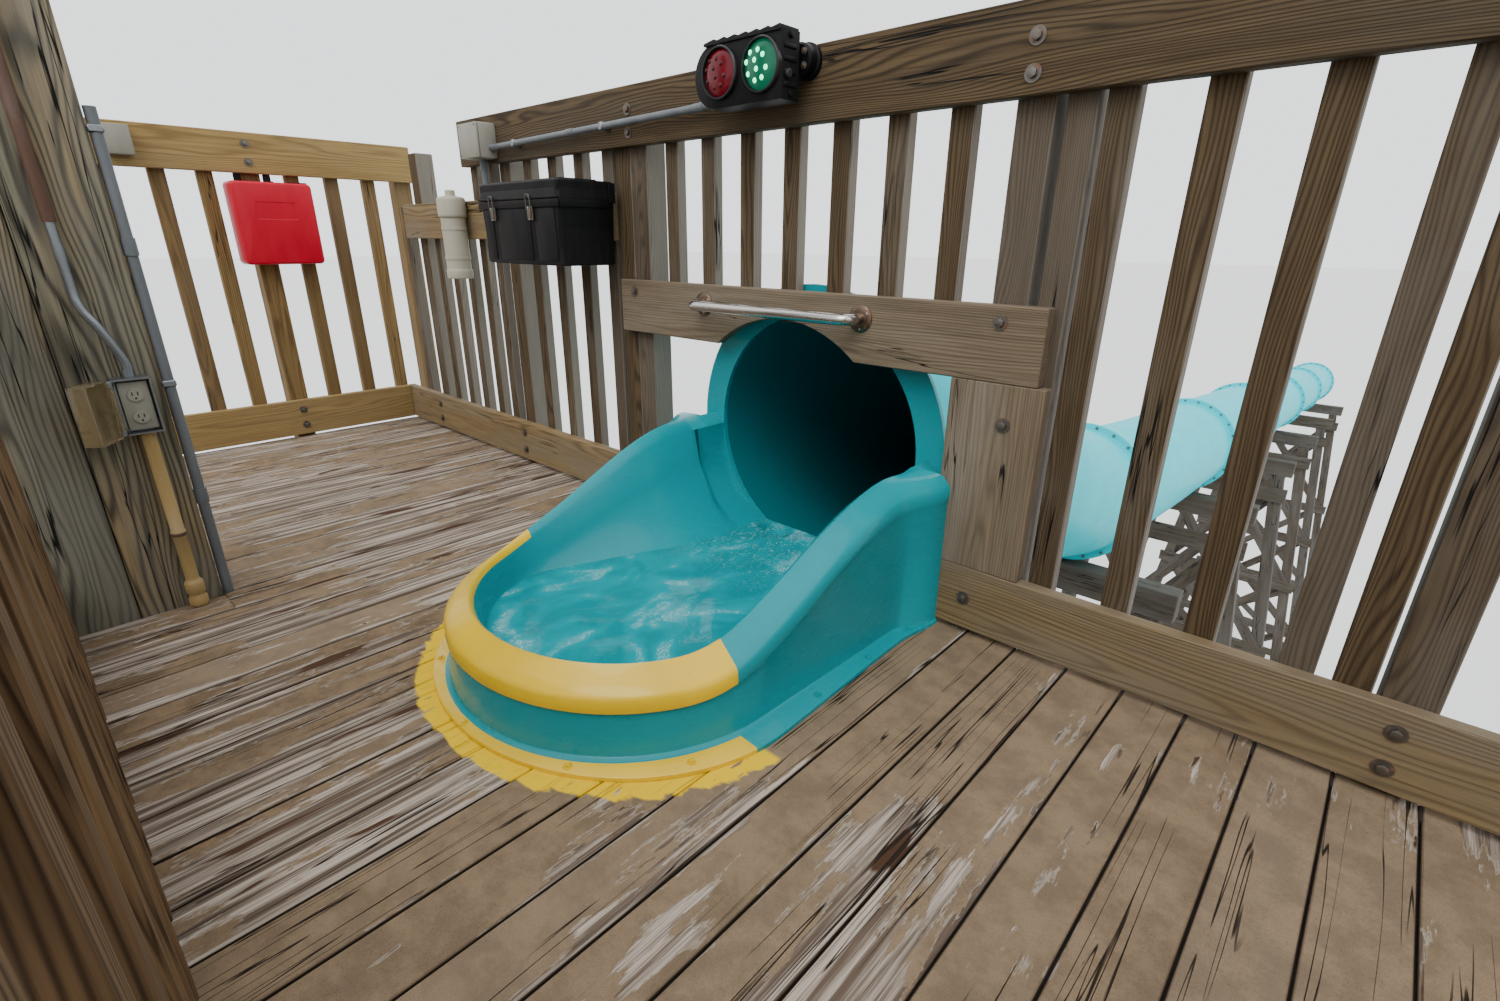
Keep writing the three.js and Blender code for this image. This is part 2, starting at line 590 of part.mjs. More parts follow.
add('tunnel_collar', ringY(
  BORE, COLLAR_OUTER, TUB.endY + SEAT_GAP, TUB.endY + SEAT_GAP + COLLAR_THICK, SLIDE_X, COLLAR_Z,
), FINISH.tub);

// Flume: a smooth path that drops behind the rail and then runs on at an even slope
const flumePath = new THREE.CatmullRomCurve3(
  FLUME_POINTS.map(([y, z]) => new THREE.Vector3(SLIDE_X, y, z)), false, 'centripetal',
);
flumePath.arcLengthDivisions = 2000;

// The share of the path's length at which it reaches a given Y.
function shareAtY(y) {
  let low = 0;
  let high = 1;
  for (let i = 0; i < 40; i += 1) {
    const middle = (low + high) / 2;
    if (flumePath.getPointAt(middle).y < y) low = middle;
    else high = middle;
  }
  return (low + high) / 2;
}

// A tube wall round a stretch of the path. The outline runs once round the wall's section, in pairs of a
// radius and a distance along the stretch.
function wallAlongPath(outline, startLength) {
  const whole = flumePath.getLength();
  const across = new THREE.Vector3(1, 0, 0);
  const positions = [];
  for (const [radius, distance] of outline) {
    const share = (startLength + distance) / whole;
    const centre = flumePath.getPointAt(share);
    const upward = new THREE.Vector3().crossVectors(across, flumePath.getTangentAt(share));
    for (let i = 0; i < ROUND_STEPS; i += 1) {
      const angle = (2 * Math.PI * i) / ROUND_STEPS;
      const point = centre.clone().addScaledVector(across, radius * Math.cos(angle));
      positions.push(...point.addScaledVector(upward, radius * Math.sin(angle)).toArray());
    }
  }
  const faces = [];
  outline.forEach((_, ring) => {
    const next = (ring + 1) % outline.length;
    for (let i = 0; i < ROUND_STEPS; i += 1) {
      const j = (i + 1) % ROUND_STEPS;
      const [a, b] = [ring * ROUND_STEPS + i, ring * ROUND_STEPS + j];
      const [c, d] = [next * ROUND_STEPS + j, next * ROUND_STEPS + i];
      faces.push(a, c, b, a, d, c);
    }
  });
  const geometry = new THREE.BufferGeometry();
  geometry.setAttribute('position', new THREE.Float32BufferAttribute(positions, 3));
  geometry.setIndex(faces);
  geometry.computeVertexNormals();
  return geometry;
}

// One section of the flume with a flange at each end.
function flumeSection(startY, endY, steps) {
  const whole = flumePath.getLength();
  const from = shareAtY(startY) * whole + SEAT_GAP / 2;
  const length = shareAtY(endY) * whole - SEAT_GAP / 2 - from;
  const inner = Array.from({ length: steps + 1 }, (_, i) => [BORE, length * (1 - i / steps)]);
  const run = length - 2 * FLANGE_THICK;
  const outer = Array.from({ length: steps + 1 }, (_, i) => [TUBE, FLANGE_THICK + run * (i / steps)]);
  const startFlange = [[FLANGE, 0], [FLANGE, FLANGE_THICK]];
  const endFlange = [[FLANGE, length - FLANGE_THICK], [FLANGE, length]];
  return wallAlongPath([...startFlange, ...outer, ...endFlange, ...inner], from);
}

const SECTION_STEPS = [9, 4, 1, 1, 1, 1];
SECTION_STEPS.forEach((steps, i) => {
  add(`flume_section_${i + 1}`, flumeSection(SECTION_ENDS_Y[i], SECTION_ENDS_Y[i + 1], steps), FINISH.flume);
});

// Bents: a cap under each joint of the flume, two leaning legs, level boards and crossed boards. Each stands
// under the lowest point of the flanges, which lies a little before the joint because the flume slopes.
function bent(jointY, flangeReach) {
  const share = shareAtY(jointY);
  const centre = flumePath.getPointAt(share);
  const slope = Math.asin(-flumePath.getTangentAt(share).z);
  const y = centre.y - FLANGE * Math.sin(slope);
  const capTop = centre.z - FLANGE * Math.cos(slope) - flangeReach * Math.sin(slope) - BENT_CLEAR;
  const capFoot = capTop - BENT_CAP;
  const half = BENT_TIMBER / 2;
  const capHalf = BENT_SPREAD + BENT_CAP_END;
  const pieces = [box(SLIDE_X - capHalf, SLIDE_X + capHalf, y - half, y + half, capFoot, capTop)];
  const spreadAt = (z) => BENT_SPREAD + (capFoot - z) * BENT_BATTER;
  for (const side of [-1, 1]) {
    const edge = (z, shift) => [SLIDE_X + side * spreadAt(z) + shift, z];
    const foot = [edge(GROUND, -half), edge(GROUND, half)];
    const head = [edge(capFoot + SINK, half), edge(capFoot + SINK, -half)];
    pieces.push(plateXZ(polygon([...foot, ...head]), y - half + SINK, y + half - SINK));
  }
  const front = [y - half - BOARD, y - half + 2 * SINK];
  const back = [y + half - 2 * SINK, y + half + BOARD];
  const run = capFoot - GROUND - 2 * BENT_END;
  const storeys = Math.round(run / BENT_STOREY);
  const levels = Array.from({ length: storeys + 1 }, (_, i) => capFoot - BENT_END - run * (i / storeys));
  levels.forEach((z, i) => {
    const reach = spreadAt(z);
    const end = reach + BENT_BOARD_END;
    pieces.push(boardXZ([SLIDE_X - end, z], [SLIDE_X + end, z], BRACE_WIDE, ...front));
    if (i === storeys) return;
    const below = spreadAt(levels[i + 1]);
    pieces.push(boardXZ([SLIDE_X - reach, z], [SLIDE_X + below, levels[i + 1]], BENT_CROSS_WIDE, ...front));
    pieces.push(boardXZ([SLIDE_X + reach, z], [SLIDE_X - below, levels[i + 1]], BENT_CROSS_WIDE, ...back));
  });
  return join(pieces);
}

const JOINTS_Y = SECTION_ENDS_Y.slice(1);
JOINTS_Y.forEach((y, i) => {
  const flangeReach = i === JOINTS_Y.length - 1 ? 0 : FLANGE_THICK;
  add(`bent_${i + 1}`, bent(y, flangeReach), FINISH.trestle);
});

// Grab bar on the header: a bent stainless bar and two round rosettes
const GRAB = { left: -1771, right: -1136, z: 846, stand: 72, radius: 16, bend: 38, sink: 2 };
const ROSETTE = { radius: 38, bevel: 6, thick: 8 };

// The points of one end of the bar, from the wall round the bend. inward is 1 where the bar runs to higher X.
function grabEnd(x, wall, inward) {
  const front = SLIDE_FACE - GRAB.stand;
  const shortcut = GRAB.bend * (1 - Math.SQRT1_2);
  return [
    [x, wall - GRAB.sink, GRAB.z], [x, front + GRAB.bend, GRAB.z],
    [x + inward * shortcut, front + shortcut, GRAB.z], [x + inward * GRAB.bend, front, GRAB.z],
  ];
}

function grabBar() {
  const wall = SLIDE_FACE - SEAT_GAP;
  const points = [...grabEnd(GRAB.left, wall, 1), ...grabEnd(GRAB.right, wall, -1).reverse()];
  const { radius, bevel, thick } = ROSETTE;
  const rosettes = [GRAB.left, GRAB.right].map((x) => {
    const disc = turned([[0, 0], [radius, 0], [radius - bevel, thick], [0, thick]], 0, 0, 0, 20);
    return disc.rotateX(Math.PI / 2).translate(x, wall, GRAB.z);
  });
  return join([bar(points, GRAB.radius, 10, 30, 'centripetal'), ...rosettes]);
}

add('grab_bar', grabBar(), FINISH.steel);

// Start signal: a black housing with a red and a green lamp, on a bracket on the top rail
const SIGNAL = { left: -1661, right: -1337, foot: 1394, top: 1562, front: 1545, back: 1630, round: 83 };
const LAMP = { red: -1555, green: -1403, z: 1478, radius: 59, clear: 0.7 };
const LENS = { thick: 18, sunk: 8, dome: 0.6, drop: 3 };
const LAMP_SIDES = 28;
const BRACKET = { x: -1351, z: 1497, radius: 45, thick: 46 };
const BRACKET_ARM = { left: -1450, foot: 1467, top: 1527, thick: 26 };

function signalHousing() {
  const { left, right, foot, top, round, front, back } = SIGNAL;
  const shape = new THREE.Shape();
  shape.moveTo(left + round, foot);
  shape.lineTo(right, foot);
  shape.lineTo(right, top);
  shape.lineTo(left + round, top);
  shape.absarc(left + round, top - round, round, Math.PI / 2, Math.PI, false);
  shape.absarc(left + round, foot + round, round, Math.PI, Math.PI * 1.5, false);
  const recess = new THREE.CylinderGeometry(LAMP.radius, LAMP.radius, 2 * LENS.thick, LAMP_SIDES);
  const recesses = [LAMP.red, LAMP.green].map((x) => recess.clone().translate(x, front, LAMP.z));
  return cut(plateXZ(shape, front, back, 6), recesses);
}

function lens(x) {
  const { thick, sunk, dome, drop } = LENS;
  const rim = LAMP.radius - LAMP.clear;
  const profile = [[0, 0], [rim, 0], [rim, sunk], [rim * dome, thick - drop], [0, thick]];
  const geometry = new THREE.LatheGeometry(profile.map(([r, h]) => new THREE.Vector2(r, h)), LAMP_SIDES);
  return geometry.rotateX(Math.PI).translate(x, SIGNAL.front + thick - SEAT_GAP, LAMP.z);
}

function signalBracket() {
  const { x, z, radius, thick } = BRACKET;
  const { left, foot, top } = BRACKET_ARM;
  const disc = new THREE.CylinderGeometry(radius, radius, thick, 24);
  const arm = box(left, x, SIGNAL.back + SEAT_GAP, SIGNAL.back + BRACKET_ARM.thick, foot, top);
  return join([disc.translate(x, SLIDE_FACE - SEAT_GAP - thick / 2, z), arm]);
}

add('signal_housing', signalHousing(), FINISH.black);
add('signal_red_lens', lens(LAMP.red), FINISH.redLens);
add('signal_green_lens', lens(LAMP.green), FINISH.greenLens);
add('signal_bracket', signalBracket(), FINISH.black);

// Conduit and boxes on the slide rail
const JUNCTION = { x: [-3190, -3030], y: [1598, SLIDE_FACE - SEAT_GAP], z: [1365, 1500] };
const CONDUIT = { y: 1660, radius: 13.5, boxZ: 1405, signal: [-1460, 1432] };
const DOWN_PIPE = { x: -3110, radius: 17 };
add('rail_junction_box', box(...JUNCTION.x, ...JUNCTION.y, ...JUNCTION.z), FINISH.beige);
add('signal_conduit', bar([
  [JUNCTION.x[1] + SEAT_GAP, CONDUIT.y, CONDUIT.boxZ], [CONDUIT.signal[0], CONDUIT.y, CONDUIT.signal[1]],
], CONDUIT.radius), FINISH.grey);
add('rail_down_pipe', bar([
  [DOWN_PIPE.x, CONDUIT.y, JUNCTION.z[0] - SEAT_GAP], [DOWN_PIPE.x, CONDUIT.y, LOW_BOARD[0]],
], DOWN_PIPE.radius), FINISH.grey);

// Junction box on the far rail, behind the column's conduit
const FAR_BOX = { x: [FAR_FACE + SEAT_GAP, FAR_FACE + 62], y: [560, 660], z: [1380, 1500] };
add('far_junction_box', box(...FAR_BOX.x, ...FAR_BOX.y, ...FAR_BOX.z), FINISH.beige);

// Upright capped tube on the low board: a foot, the tube, a wide cap and a nipple, in radius and height pairs
const CAP_RADIUS = 63;
const TUBE_PLACE = [-3390, SLIDE_FACE - SEAT_GAP - CAP_RADIUS, 865];
add('capped_tube', turned([
  [0, 0], [56, 0], [59, 4], [59, 40], [55, 44], [55, 270], [CAP_RADIUS, 274], [CAP_RADIUS, 352], [57, 360],
  [24, 362], [22, 388], [0, 388],
], ...TUBE_PLACE), FINISH.beige);

// Toolbox on the low board: an open body with two hinge ears, and a lid on their pins
const TOOLBOX = {
  x: [-2790, -2230], y: [1445, SLIDE_FACE - SEAT_GAP], z: [957, 1180], wall: 5, taper: 14,
  lidTop: 1249, lidInset: 5,
};
const TOOLBOX_HINGE = { y: 1676, z: 1228, radius: 4, clear: 0.6, pin: 16, hole: 40 };
const TOOLBOX_EAR = { thick: 4, front: 16, over: 9, lap: 10 };
const LID_SLOT = { deep: 40, high: 14 };
const BEYOND = 10;

function toolboxBody() {
  const { x, y, z, wall, taper } = TOOLBOX;
  const outer = [[x[0] + taper, z[0]], [x[1] - taper, z[0]], [x[1], z[1]], [x[0], z[1]]];
  const inner = [
    [x[0] + taper + wall, z[0] + wall], [x[1] - taper - wall, z[0] + wall], [x[1] - wall, z[1] + wall],
    [x[0] + wall, z[1] + wall],
  ];
  const shell = cut(plateXZ(polygon(outer), ...y), [plateXZ(polygon(inner), y[0] + wall, y[1] - wall)]);
  const ears = [];
  for (const [edge, way] of [[x[0], 1], [x[1], -1]]) {
    ears.push(box(
      edge, edge + way * TOOLBOX_EAR.thick, TOOLBOX_HINGE.y - TOOLBOX_EAR.front, y[1],
      z[1] - TOOLBOX_EAR.lap, TOOLBOX_HINGE.z + TOOLBOX_EAR.over,
    ));
    const pin = new THREE.CylinderGeometry(TOOLBOX_HINGE.radius, TOOLBOX_HINGE.radius, TOOLBOX_HINGE.pin, 12);
    const middle = edge + way * (TOOLBOX_HINGE.pin / 2 + TOOLBOX_EAR.thick / 2);
    ears.push(pin.rotateZ(Math.PI / 2).translate(middle, TOOLBOX_HINGE.y, TOOLBOX_HINGE.z));
  }
  return join([shell, ...ears]);
}

// The lid has a slot along its foot at the back, where it swings past the body's edge.
function toolboxLid() {
  const { x, y, z, wall, lidTop, lidInset } = TOOLBOX;
  const ends = [x[0] + lidInset, x[1] - lidInset];
  const foot = z[1] + SEAT_GAP;
  const inside = box(
    ends[0] + wall, ends[1] - wall, y[0] + wall, y[1] - wall, foot - BEYOND, lidTop - wall,
  );
  const slot = box(
    ends[0] - BEYOND, ends[1] + BEYOND, y[1] - LID_SLOT.deep, y[1] + BEYOND,
    foot - BEYOND, foot + LID_SLOT.high,
  );
  const hole = TOOLBOX_HINGE.radius + TOOLBOX_HINGE.clear;
  const holes = ends.map((edge) => (
    new THREE.CylinderGeometry(hole, hole, TOOLBOX_HINGE.hole, 12).rotateZ(Math.PI / 2)
      .translate(edge, TOOLBOX_HINGE.y, TOOLBOX_HINGE.z)
  ));
  return cut(box(...ends, ...y, foot, lidTop), [inside, slot, ...holes]);
}

add('toolbox_body', toolboxBody(), FINISH.black);
add('toolbox_lid', toolboxLid(), FINISH.black);

// Red case that hangs on the far rail by two loops, drawn facing the viewer and then turned a quarter turn
const CASE = { x: [FAR_FACE - BOARD + SEAT_GAP, -4284], y: [975, 1328], z: [913, 1297], round: 22, lap: 4 };
const CASE_LOOP = { y: [1040, 1165], half: 32, from: 8, to: 26 };

function redCase() {
  const { x, y: [left, right], z: [foot, top], round, lap } = CASE;
  const shape = new THREE.Shape();
  shape.absarc(right - round, foot + round, round, -Math.PI / 2, 0, false);
  shape.absarc(right - round, top - round, round, 0, Math.PI / 2, false);
  shape.absarc(left + round, top - round, round, Math.PI / 2, Math.PI, false);
  shape.absarc(left + round, foot + round, round, Math.PI, Math.PI * 1.5, false);
  const loops = CASE_LOOP.y.map((y) => box(
    y - CASE_LOOP.half, y + CASE_LOOP.half, -x[0] - CASE_LOOP.to, -x[0] - CASE_LOOP.from,
    top - lap, END_TOP_RAIL[0] - SEAT_GAP,
  ));
  return join([plateXZ(shape, -x[1], -x[0], 4), ...loops]).rotateZ(Math.PI / 2);
}

add('red_case', redCase(), FINISH.red);

// Outlet box on the column, with lugs and a rod that its hinged clear cover turns on
const OUTLET = { y: [196, 276], z: [543, 693], deep: 58, wall: 4, floor: 22, pipeDeep: 28 };
const OUTLET_FRONT = COLUMN_FACE + SEAT_GAP + OUTLET.deep;
const OUTLET_MIDDLE_Z = (OUTLET.z[0] + OUTLET.z[1]) / 2;
const HINGE = { x: OUTLET_FRONT + 7, y: 188, rod: 3, rodInset: 5, barrel: 7, clear: 0.7, open: 125 };
const BARREL_Z = [OUTLET.z[0] + 18, OUTLET.z[1] - 18];
const LUG = { half: 5, lap: 20, inset: 2, clear: 1 };
const COVER = { side: 9, wide: 86, deep: 42, wall: 3, lip: 5, over: 2, leaf: 4, leafY: [3, 11] };

function outletBox() {
  const { y, z, wall, floor } = OUTLET;
  const back = COLUMN_FACE + SEAT_GAP;
  const shell = cut(box(back, OUTLET_FRONT, ...y, ...z), [
    box(back + floor, OUTLET_FRONT + wall, y[0] + wall, y[1] - wall, z[0] + wall, z[1] - wall),
  ]);
  const heights = [[z[0] + LUG.inset, BARREL_Z[0] - LUG.clear], [BARREL_Z[1] + LUG.clear, z[1] - LUG.inset]];
  const lugs = heights.flatMap((height) => [
    box(OUTLET_FRONT - LUG.lap, OUTLET_FRONT, HINGE.y - LUG.half, y[0] + wall, ...height),
    box(OUTLET_FRONT - SINK, HINGE.x + LUG.half, HINGE.y - LUG.half, HINGE.y + LUG.half, ...height),
  ]);
  const ends = [z[0] + HINGE.rodInset, z[1] - HINGE.rodInset];
  return join([shell, ...lugs, bar(ends.map((end) => [HINGE.x, HINGE.y, end]), HINGE.rod)]);
}

// The cover as it is when shut, about its own hinge line: wide in Y and deep in X.
function outletCover() {
  const { side, wide, deep, wall, lip, over, leaf, leafY } = COVER;
  const rim = OUTLET_FRONT + lip - HINGE.x;
  const half = (OUTLET.z[1] - OUTLET.z[0]) / 2 + over;
  const shell = cut(box(rim, rim + deep, side, side + wide, -half, half), [
    box(rim - wall, rim + deep - wall, side + wall, side + wide - wall, -half + wall, half - wall),
  ]);
  const barrel = (BARREL_Z[1] - BARREL_Z[0]) / 2;
  const tube = bar([[0, 0, -barrel], [0, 0, barrel]], HINGE.barrel, 16);
  const bore = bar([[0, 0, -half], [0, 0, half]], HINGE.rod + HINGE.clear, 16);
  return cut(join([shell, box(rim, rim + leaf, ...leafY, -barrel, barrel), tube]), [bore]);
}

add('outlet_box', outletBox(), FINISH.galvanised);
const cover = add('outlet_cover', outletCover(), FINISH.amber);
cover.position.set(HINGE.x, HINGE.y, OUTLET_MIDDLE_Z);
cover.rotation.z = -THREE.MathUtils.degToRad(HINGE.open);

// The pipe from the deck up to the outlet box, in radius and height pairs: a foot, a coupling, the pipe and
// a ring
const OUTLET_X = COLUMN_FACE + SEAT_GAP + OUTLET.pipeDeep;
const OUTLET_PIPE_Y = 240;
const OUTLET_PIPE_TOP = OUTLET.z[0] - 2 * SEAT_GAP;
add('outlet_pipe', turned([
  [0, 0], [20, 0], [24, 8], [24, 30], [19, 38], [24, 46], [24, 78], [17, 86], [17, 225], [19, 227], [19, 243],
  [17, 245], [17, OUTLET_PIPE_TOP], [0, OUTLET_PIPE_TOP],
], OUTLET_X, OUTLET_PIPE_Y, SEAT_GAP, 16), FINISH.beige);

// The thin conduit from the box up the column
const THIN_CONDUIT_RADIUS = 12;
const THIN_CONDUIT_X = OUTLET_X - 14;
add('outlet_conduit', bar([
  [OUTLET_X, 237, OUTLET.z[1] + SEAT_GAP], [OUTLET_X, 237, 735], [OUTLET_X, 209, 820],
  [OUTLET_X - 6, 184, 880], [OUTLET_X - 12, 180, 960], [THIN_CONDUIT_X, 180, 1300],
  [THIN_CONDUIT_X, 180, 1800], [THIN_CONDUIT_X, 180, 2300],
], THIN_CONDUIT_RADIUS, 10, 18), FINISH.galvanised);

// The grey conduit on the column's side, with two couplings
const SIDE_CONDUIT = { x: -2535, radius: 14, top: 1350, couplings: [323, 1022] };
const COUPLING = { radius: 17, half: 22, bevel: 2 };

function sideConduit() {
  const { x, radius, top, couplings } = SIDE_CONDUIT;
  const profile = [[0, SEAT_GAP], [radius, SEAT_GAP]];
  for (const z of couplings) {
    const [outer, inner] = [COUPLING.half, COUPLING.half - COUPLING.bevel];
    profile.push([radius, z - outer], [COUPLING.radius, z - inner]);
    profile.push([COUPLING.radius, z + inner], [radius, z + outer]);
  }
  profile.push([radius, top], [0, top]);
  return turned(profile, x, COLUMN_SLIDE_Y + COLUMN_SLIDE_DEEP / 2 + SEAT_GAP + COUPLING.radius, 0, 14);
}

add('column_conduit', sideConduit(), FINISH.grey);

// The origin is the foot of the left main column's timber on the slide side.
tower.position.set(-COLUMN_LEFT_X, -COLUMN_SLIDE_Y, DECK_HEIGHT);
tower.name = 'water_slide_tower';

export default tower;
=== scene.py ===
"""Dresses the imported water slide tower: lumber, gelcoat, lamps, boxes, bolts and water."""

import math
import random

import bmesh
import bpy
from mathutils import Matrix, Vector


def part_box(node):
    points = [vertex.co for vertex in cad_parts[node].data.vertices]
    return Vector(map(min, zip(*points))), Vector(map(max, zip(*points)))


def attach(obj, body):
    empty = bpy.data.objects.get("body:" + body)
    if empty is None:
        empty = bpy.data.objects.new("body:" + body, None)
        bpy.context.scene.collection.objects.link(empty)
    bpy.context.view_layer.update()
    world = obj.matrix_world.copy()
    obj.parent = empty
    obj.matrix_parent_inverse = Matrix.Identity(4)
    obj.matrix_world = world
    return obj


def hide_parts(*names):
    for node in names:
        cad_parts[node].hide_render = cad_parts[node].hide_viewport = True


bl_info = {
    "name": "Water Slide Tower",
    "version": (1, 0, 0),
    "blender": (4, 5, 0),
    "location": "3D View > Sidebar > Slide Tower",
    "description": "Builds the looks of a timber water slide tower round its packed solids",
    "category": "Object",
}

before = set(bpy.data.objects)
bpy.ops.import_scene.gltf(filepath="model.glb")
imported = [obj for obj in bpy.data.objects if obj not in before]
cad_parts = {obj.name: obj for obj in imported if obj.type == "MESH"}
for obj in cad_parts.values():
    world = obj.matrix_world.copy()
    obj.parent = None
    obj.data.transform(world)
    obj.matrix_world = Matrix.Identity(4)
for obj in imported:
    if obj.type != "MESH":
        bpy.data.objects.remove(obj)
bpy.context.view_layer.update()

# The deck's own axes: X along the slide rail, Y the way the slide leaves, Z up from the deck boards
OFFSET = Vector((2.633, -0.205, 9.0))
GROUND = -9.0
# The body that everything but the toolbox's lid and the clear cover rides on
TOWER = "tower"

# Lumber, in metres
BOARD = 0.038
PICKET = 0.064
POST = 0.089
LEG = 0.190
COLUMN = 0.228
GAP = 0.0003
SLIDE_FACE = 1.688
LANDING_FACE = -1.480
FAR_FACE = -4.368
RIGHT_FACE = 2.410
NEAR_FACE = -0.108
KICK = (0.016, 0.204)
TOP_RAIL = (1.351, 1.536)
END_TOP_RAIL = (1.336, 1.519)
LOW_BOARD = (1.041, 1.208)
HEADER = (0.720, 0.908)
NEAR_TOP_RAIL = (0.852, 1.037)
PICKET_FOOT = 0.020
PICKET_TOP = 1.500
POST_FOOT = -0.270
COLUMN_X = (-2.633, 0.670)
COLUMN_Y = (-0.011, 0.205)
COLUMN_FACE = COLUMN_X[0] + COLUMN / 2
LEG_X = (-4.250, -0.980, 2.290)

# The slide
SLIDE_X = -1.365
TUB_MIDDLE_Y = 1.000
TUB_END_Y = 1.770
BORE = 0.397
COLLAR_Z = 0.437
SLIDE_TURNS = 64


def node_box(node):
    """The box of a solid node, moved from the part's frame into the deck's axes."""
    low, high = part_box(node)
    return Vector(low) - OFFSET, Vector(high) - OFFSET


# Settings

def colour_setting(name, description, default):
    return bpy.props.FloatVectorProperty(name=name, description=description, subtype="COLOR", size=3,
                                         default=default, min=0, max=1)


def length_setting(name, description, default, low):
    return bpy.props.FloatProperty(name=name, description=description, default=default, min=low,
                                   unit="LENGTH")


class TowerWood(bpy.types.PropertyGroup):
    """Sizes and colours of the lumber."""
    rail_colour: colour_setting("Rail colour", "Light rings of the rails", (0.300, 0.208, 0.095))
    column_colour: colour_setting("Column colour", "Light rings of the main columns", (0.240, 0.215, 0.145))
    coating_colour: colour_setting("Coating colour", "Sand coating of the deck", (0.208, 0.142, 0.082))
    plank_pitch: length_setting("Plank pitch", "Width of a deck board with its seam", 0.139, 0.05)
    seam: length_setting("Seam", "Open seam between two deck boards", 0.004, 0.001)


class TowerSlide(bpy.types.PropertyGroup):
    """Colours and levels of the tub and the flume."""
    tub_colour: colour_setting("Tub colour", "Gelcoat of the start tub", (0.0, 0.250, 0.285))
    rim_colour: colour_setting("Rim colour", "Painted front rim", (0.80, 0.51, 0.001))
    flume_colour: colour_setting("Flume colour", "Outside of the flume", (0.0, 0.50, 0.57))
    water_level: length_setting("Water level", "Height of the still water over the deck", 0.098, 0.0)


class TowerFittings(bpy.types.PropertyGroup):
    """Colours and counts of what hangs on the rails."""
    case_colour: colour_setting("Case colour", "Moulded case on the far rail", (0.50, 0.0, 0.018))
    lit_colour: colour_setting("Lit colour", "Lit dots of the green lamp", (0.12, 1.0, 0.42))
    flange_bolts: bpy.props.IntProperty(
        name="Flange bolts", description="Bolts round each joint of the flume", default=24, min=4)


# Finishes

class Finish:
    """A material with a principled shader, and short calls to add nodes to it."""

    def __init__(self, name):
        self.material = bpy.data.materials.new(name)
        self.material.use_nodes = True
        self.tree = self.material.node_tree
        self.shader = self.tree.nodes["Principled BSDF"]

    def set(self, **values):
        """Plain values on the shader's own sockets."""
        for key, value in values.items():
            self.shader.inputs[key.replace("_", " ")].default_value = value
        return self

    def node(self, kind, settings=None, **sockets):
        made = self.tree.nodes.new(kind)
        for key, value in (settings or {}).items():
            setattr(made, key, value)
        for key, value in sockets.items():
            self.feed(made.inputs[key.replace("_", " ")], value)
        return made

    def feed(self, socket, value):
        if isinstance(value, bpy.types.NodeSocket):
            self.tree.links.new(value, socket)
        elif isinstance(value, bpy.types.Node):
            self.tree.links.new(value.outputs[0], socket)
        else:
            socket.default_value = value

    def plug(self, name, value):
        self.feed(self.shader.inputs[name], value)
        return self

    def vector(self, operation, *values, kind="ShaderNodeVectorMath"):
        """The node of a calculation on sockets or plain values."""
        made = self.node(kind, {"operation": operation})
        for socket, value in zip(made.inputs, values):
            self.feed(socket, value)
        return made

    def math(self, operation, *values):
        return self.vector(operation, *values, kind="ShaderNodeMath").outputs[0]

    def times(self, a, b):
        return self.math("MULTIPLY", a, b)

    def thread(self, noise):
        """How far a noise is from its middle. It is near 0 along thin crooked lines."""
        return self.math("ABSOLUTE", self.math("SUBTRACT", noise, 0.5))

    def part(self, vector, axis):
        return self.node("ShaderNodeSeparateXYZ", Vector=vector).outputs[axis]

    def object_coords(self):
        return self.node("ShaderNodeTexCoord").outputs["Object"]

    def attribute(self, name):
        return self.node("ShaderNodeAttribute", {"attribute_name": name})

    def scaled(self, vector, scale, location=(0, 0, 0)):
        return self.node("ShaderNodeMapping", Vector=vector, Scale=scale, Location=location).outputs[0]

    def noise(self, vector, detail, scale=1.0, roughness=0.55, distortion=0.0):
        made = self.node("ShaderNodeTexNoise", Vector=vector, Scale=scale, Detail=detail, Roughness=roughness,
                         Distortion=distortion)
        return made.outputs["Fac"]

    def band(self, value, low, high):
        """0 under low, 1 over high, smooth between."""
        return self.node("ShaderNodeMapRange", {"interpolation_type": "SMOOTHSTEP"}, Value=value,
                         From_Min=low, From_Max=high).outputs[0]

    def mix(self, share, first, second, blend="MIX"):
        made = self.node("ShaderNodeMix", {"data_type": "RGBA", "blend_type": blend}, Factor=share)
        for socket, value in ((made.inputs[6], first), (made.inputs[7], second)):
            self.feed(socket, (*value, 1) if isinstance(value, tuple) else value)
        return made.outputs[2]

    def bump(self, *layers):
        """Bump layers of (height, strength, distance), one over the other."""
        normal = None
        for height, strength, distance in layers:
            made = self.node("ShaderNodeBump", Height=height, Strength=strength, Distance=distance)
            if normal is not None:
                self.feed(made.inputs["Normal"], normal)
            normal = made.outputs[0]
        return self.plug("Normal", normal)


def darker(colour, share):
    return tuple(channel * share for channel in colour)


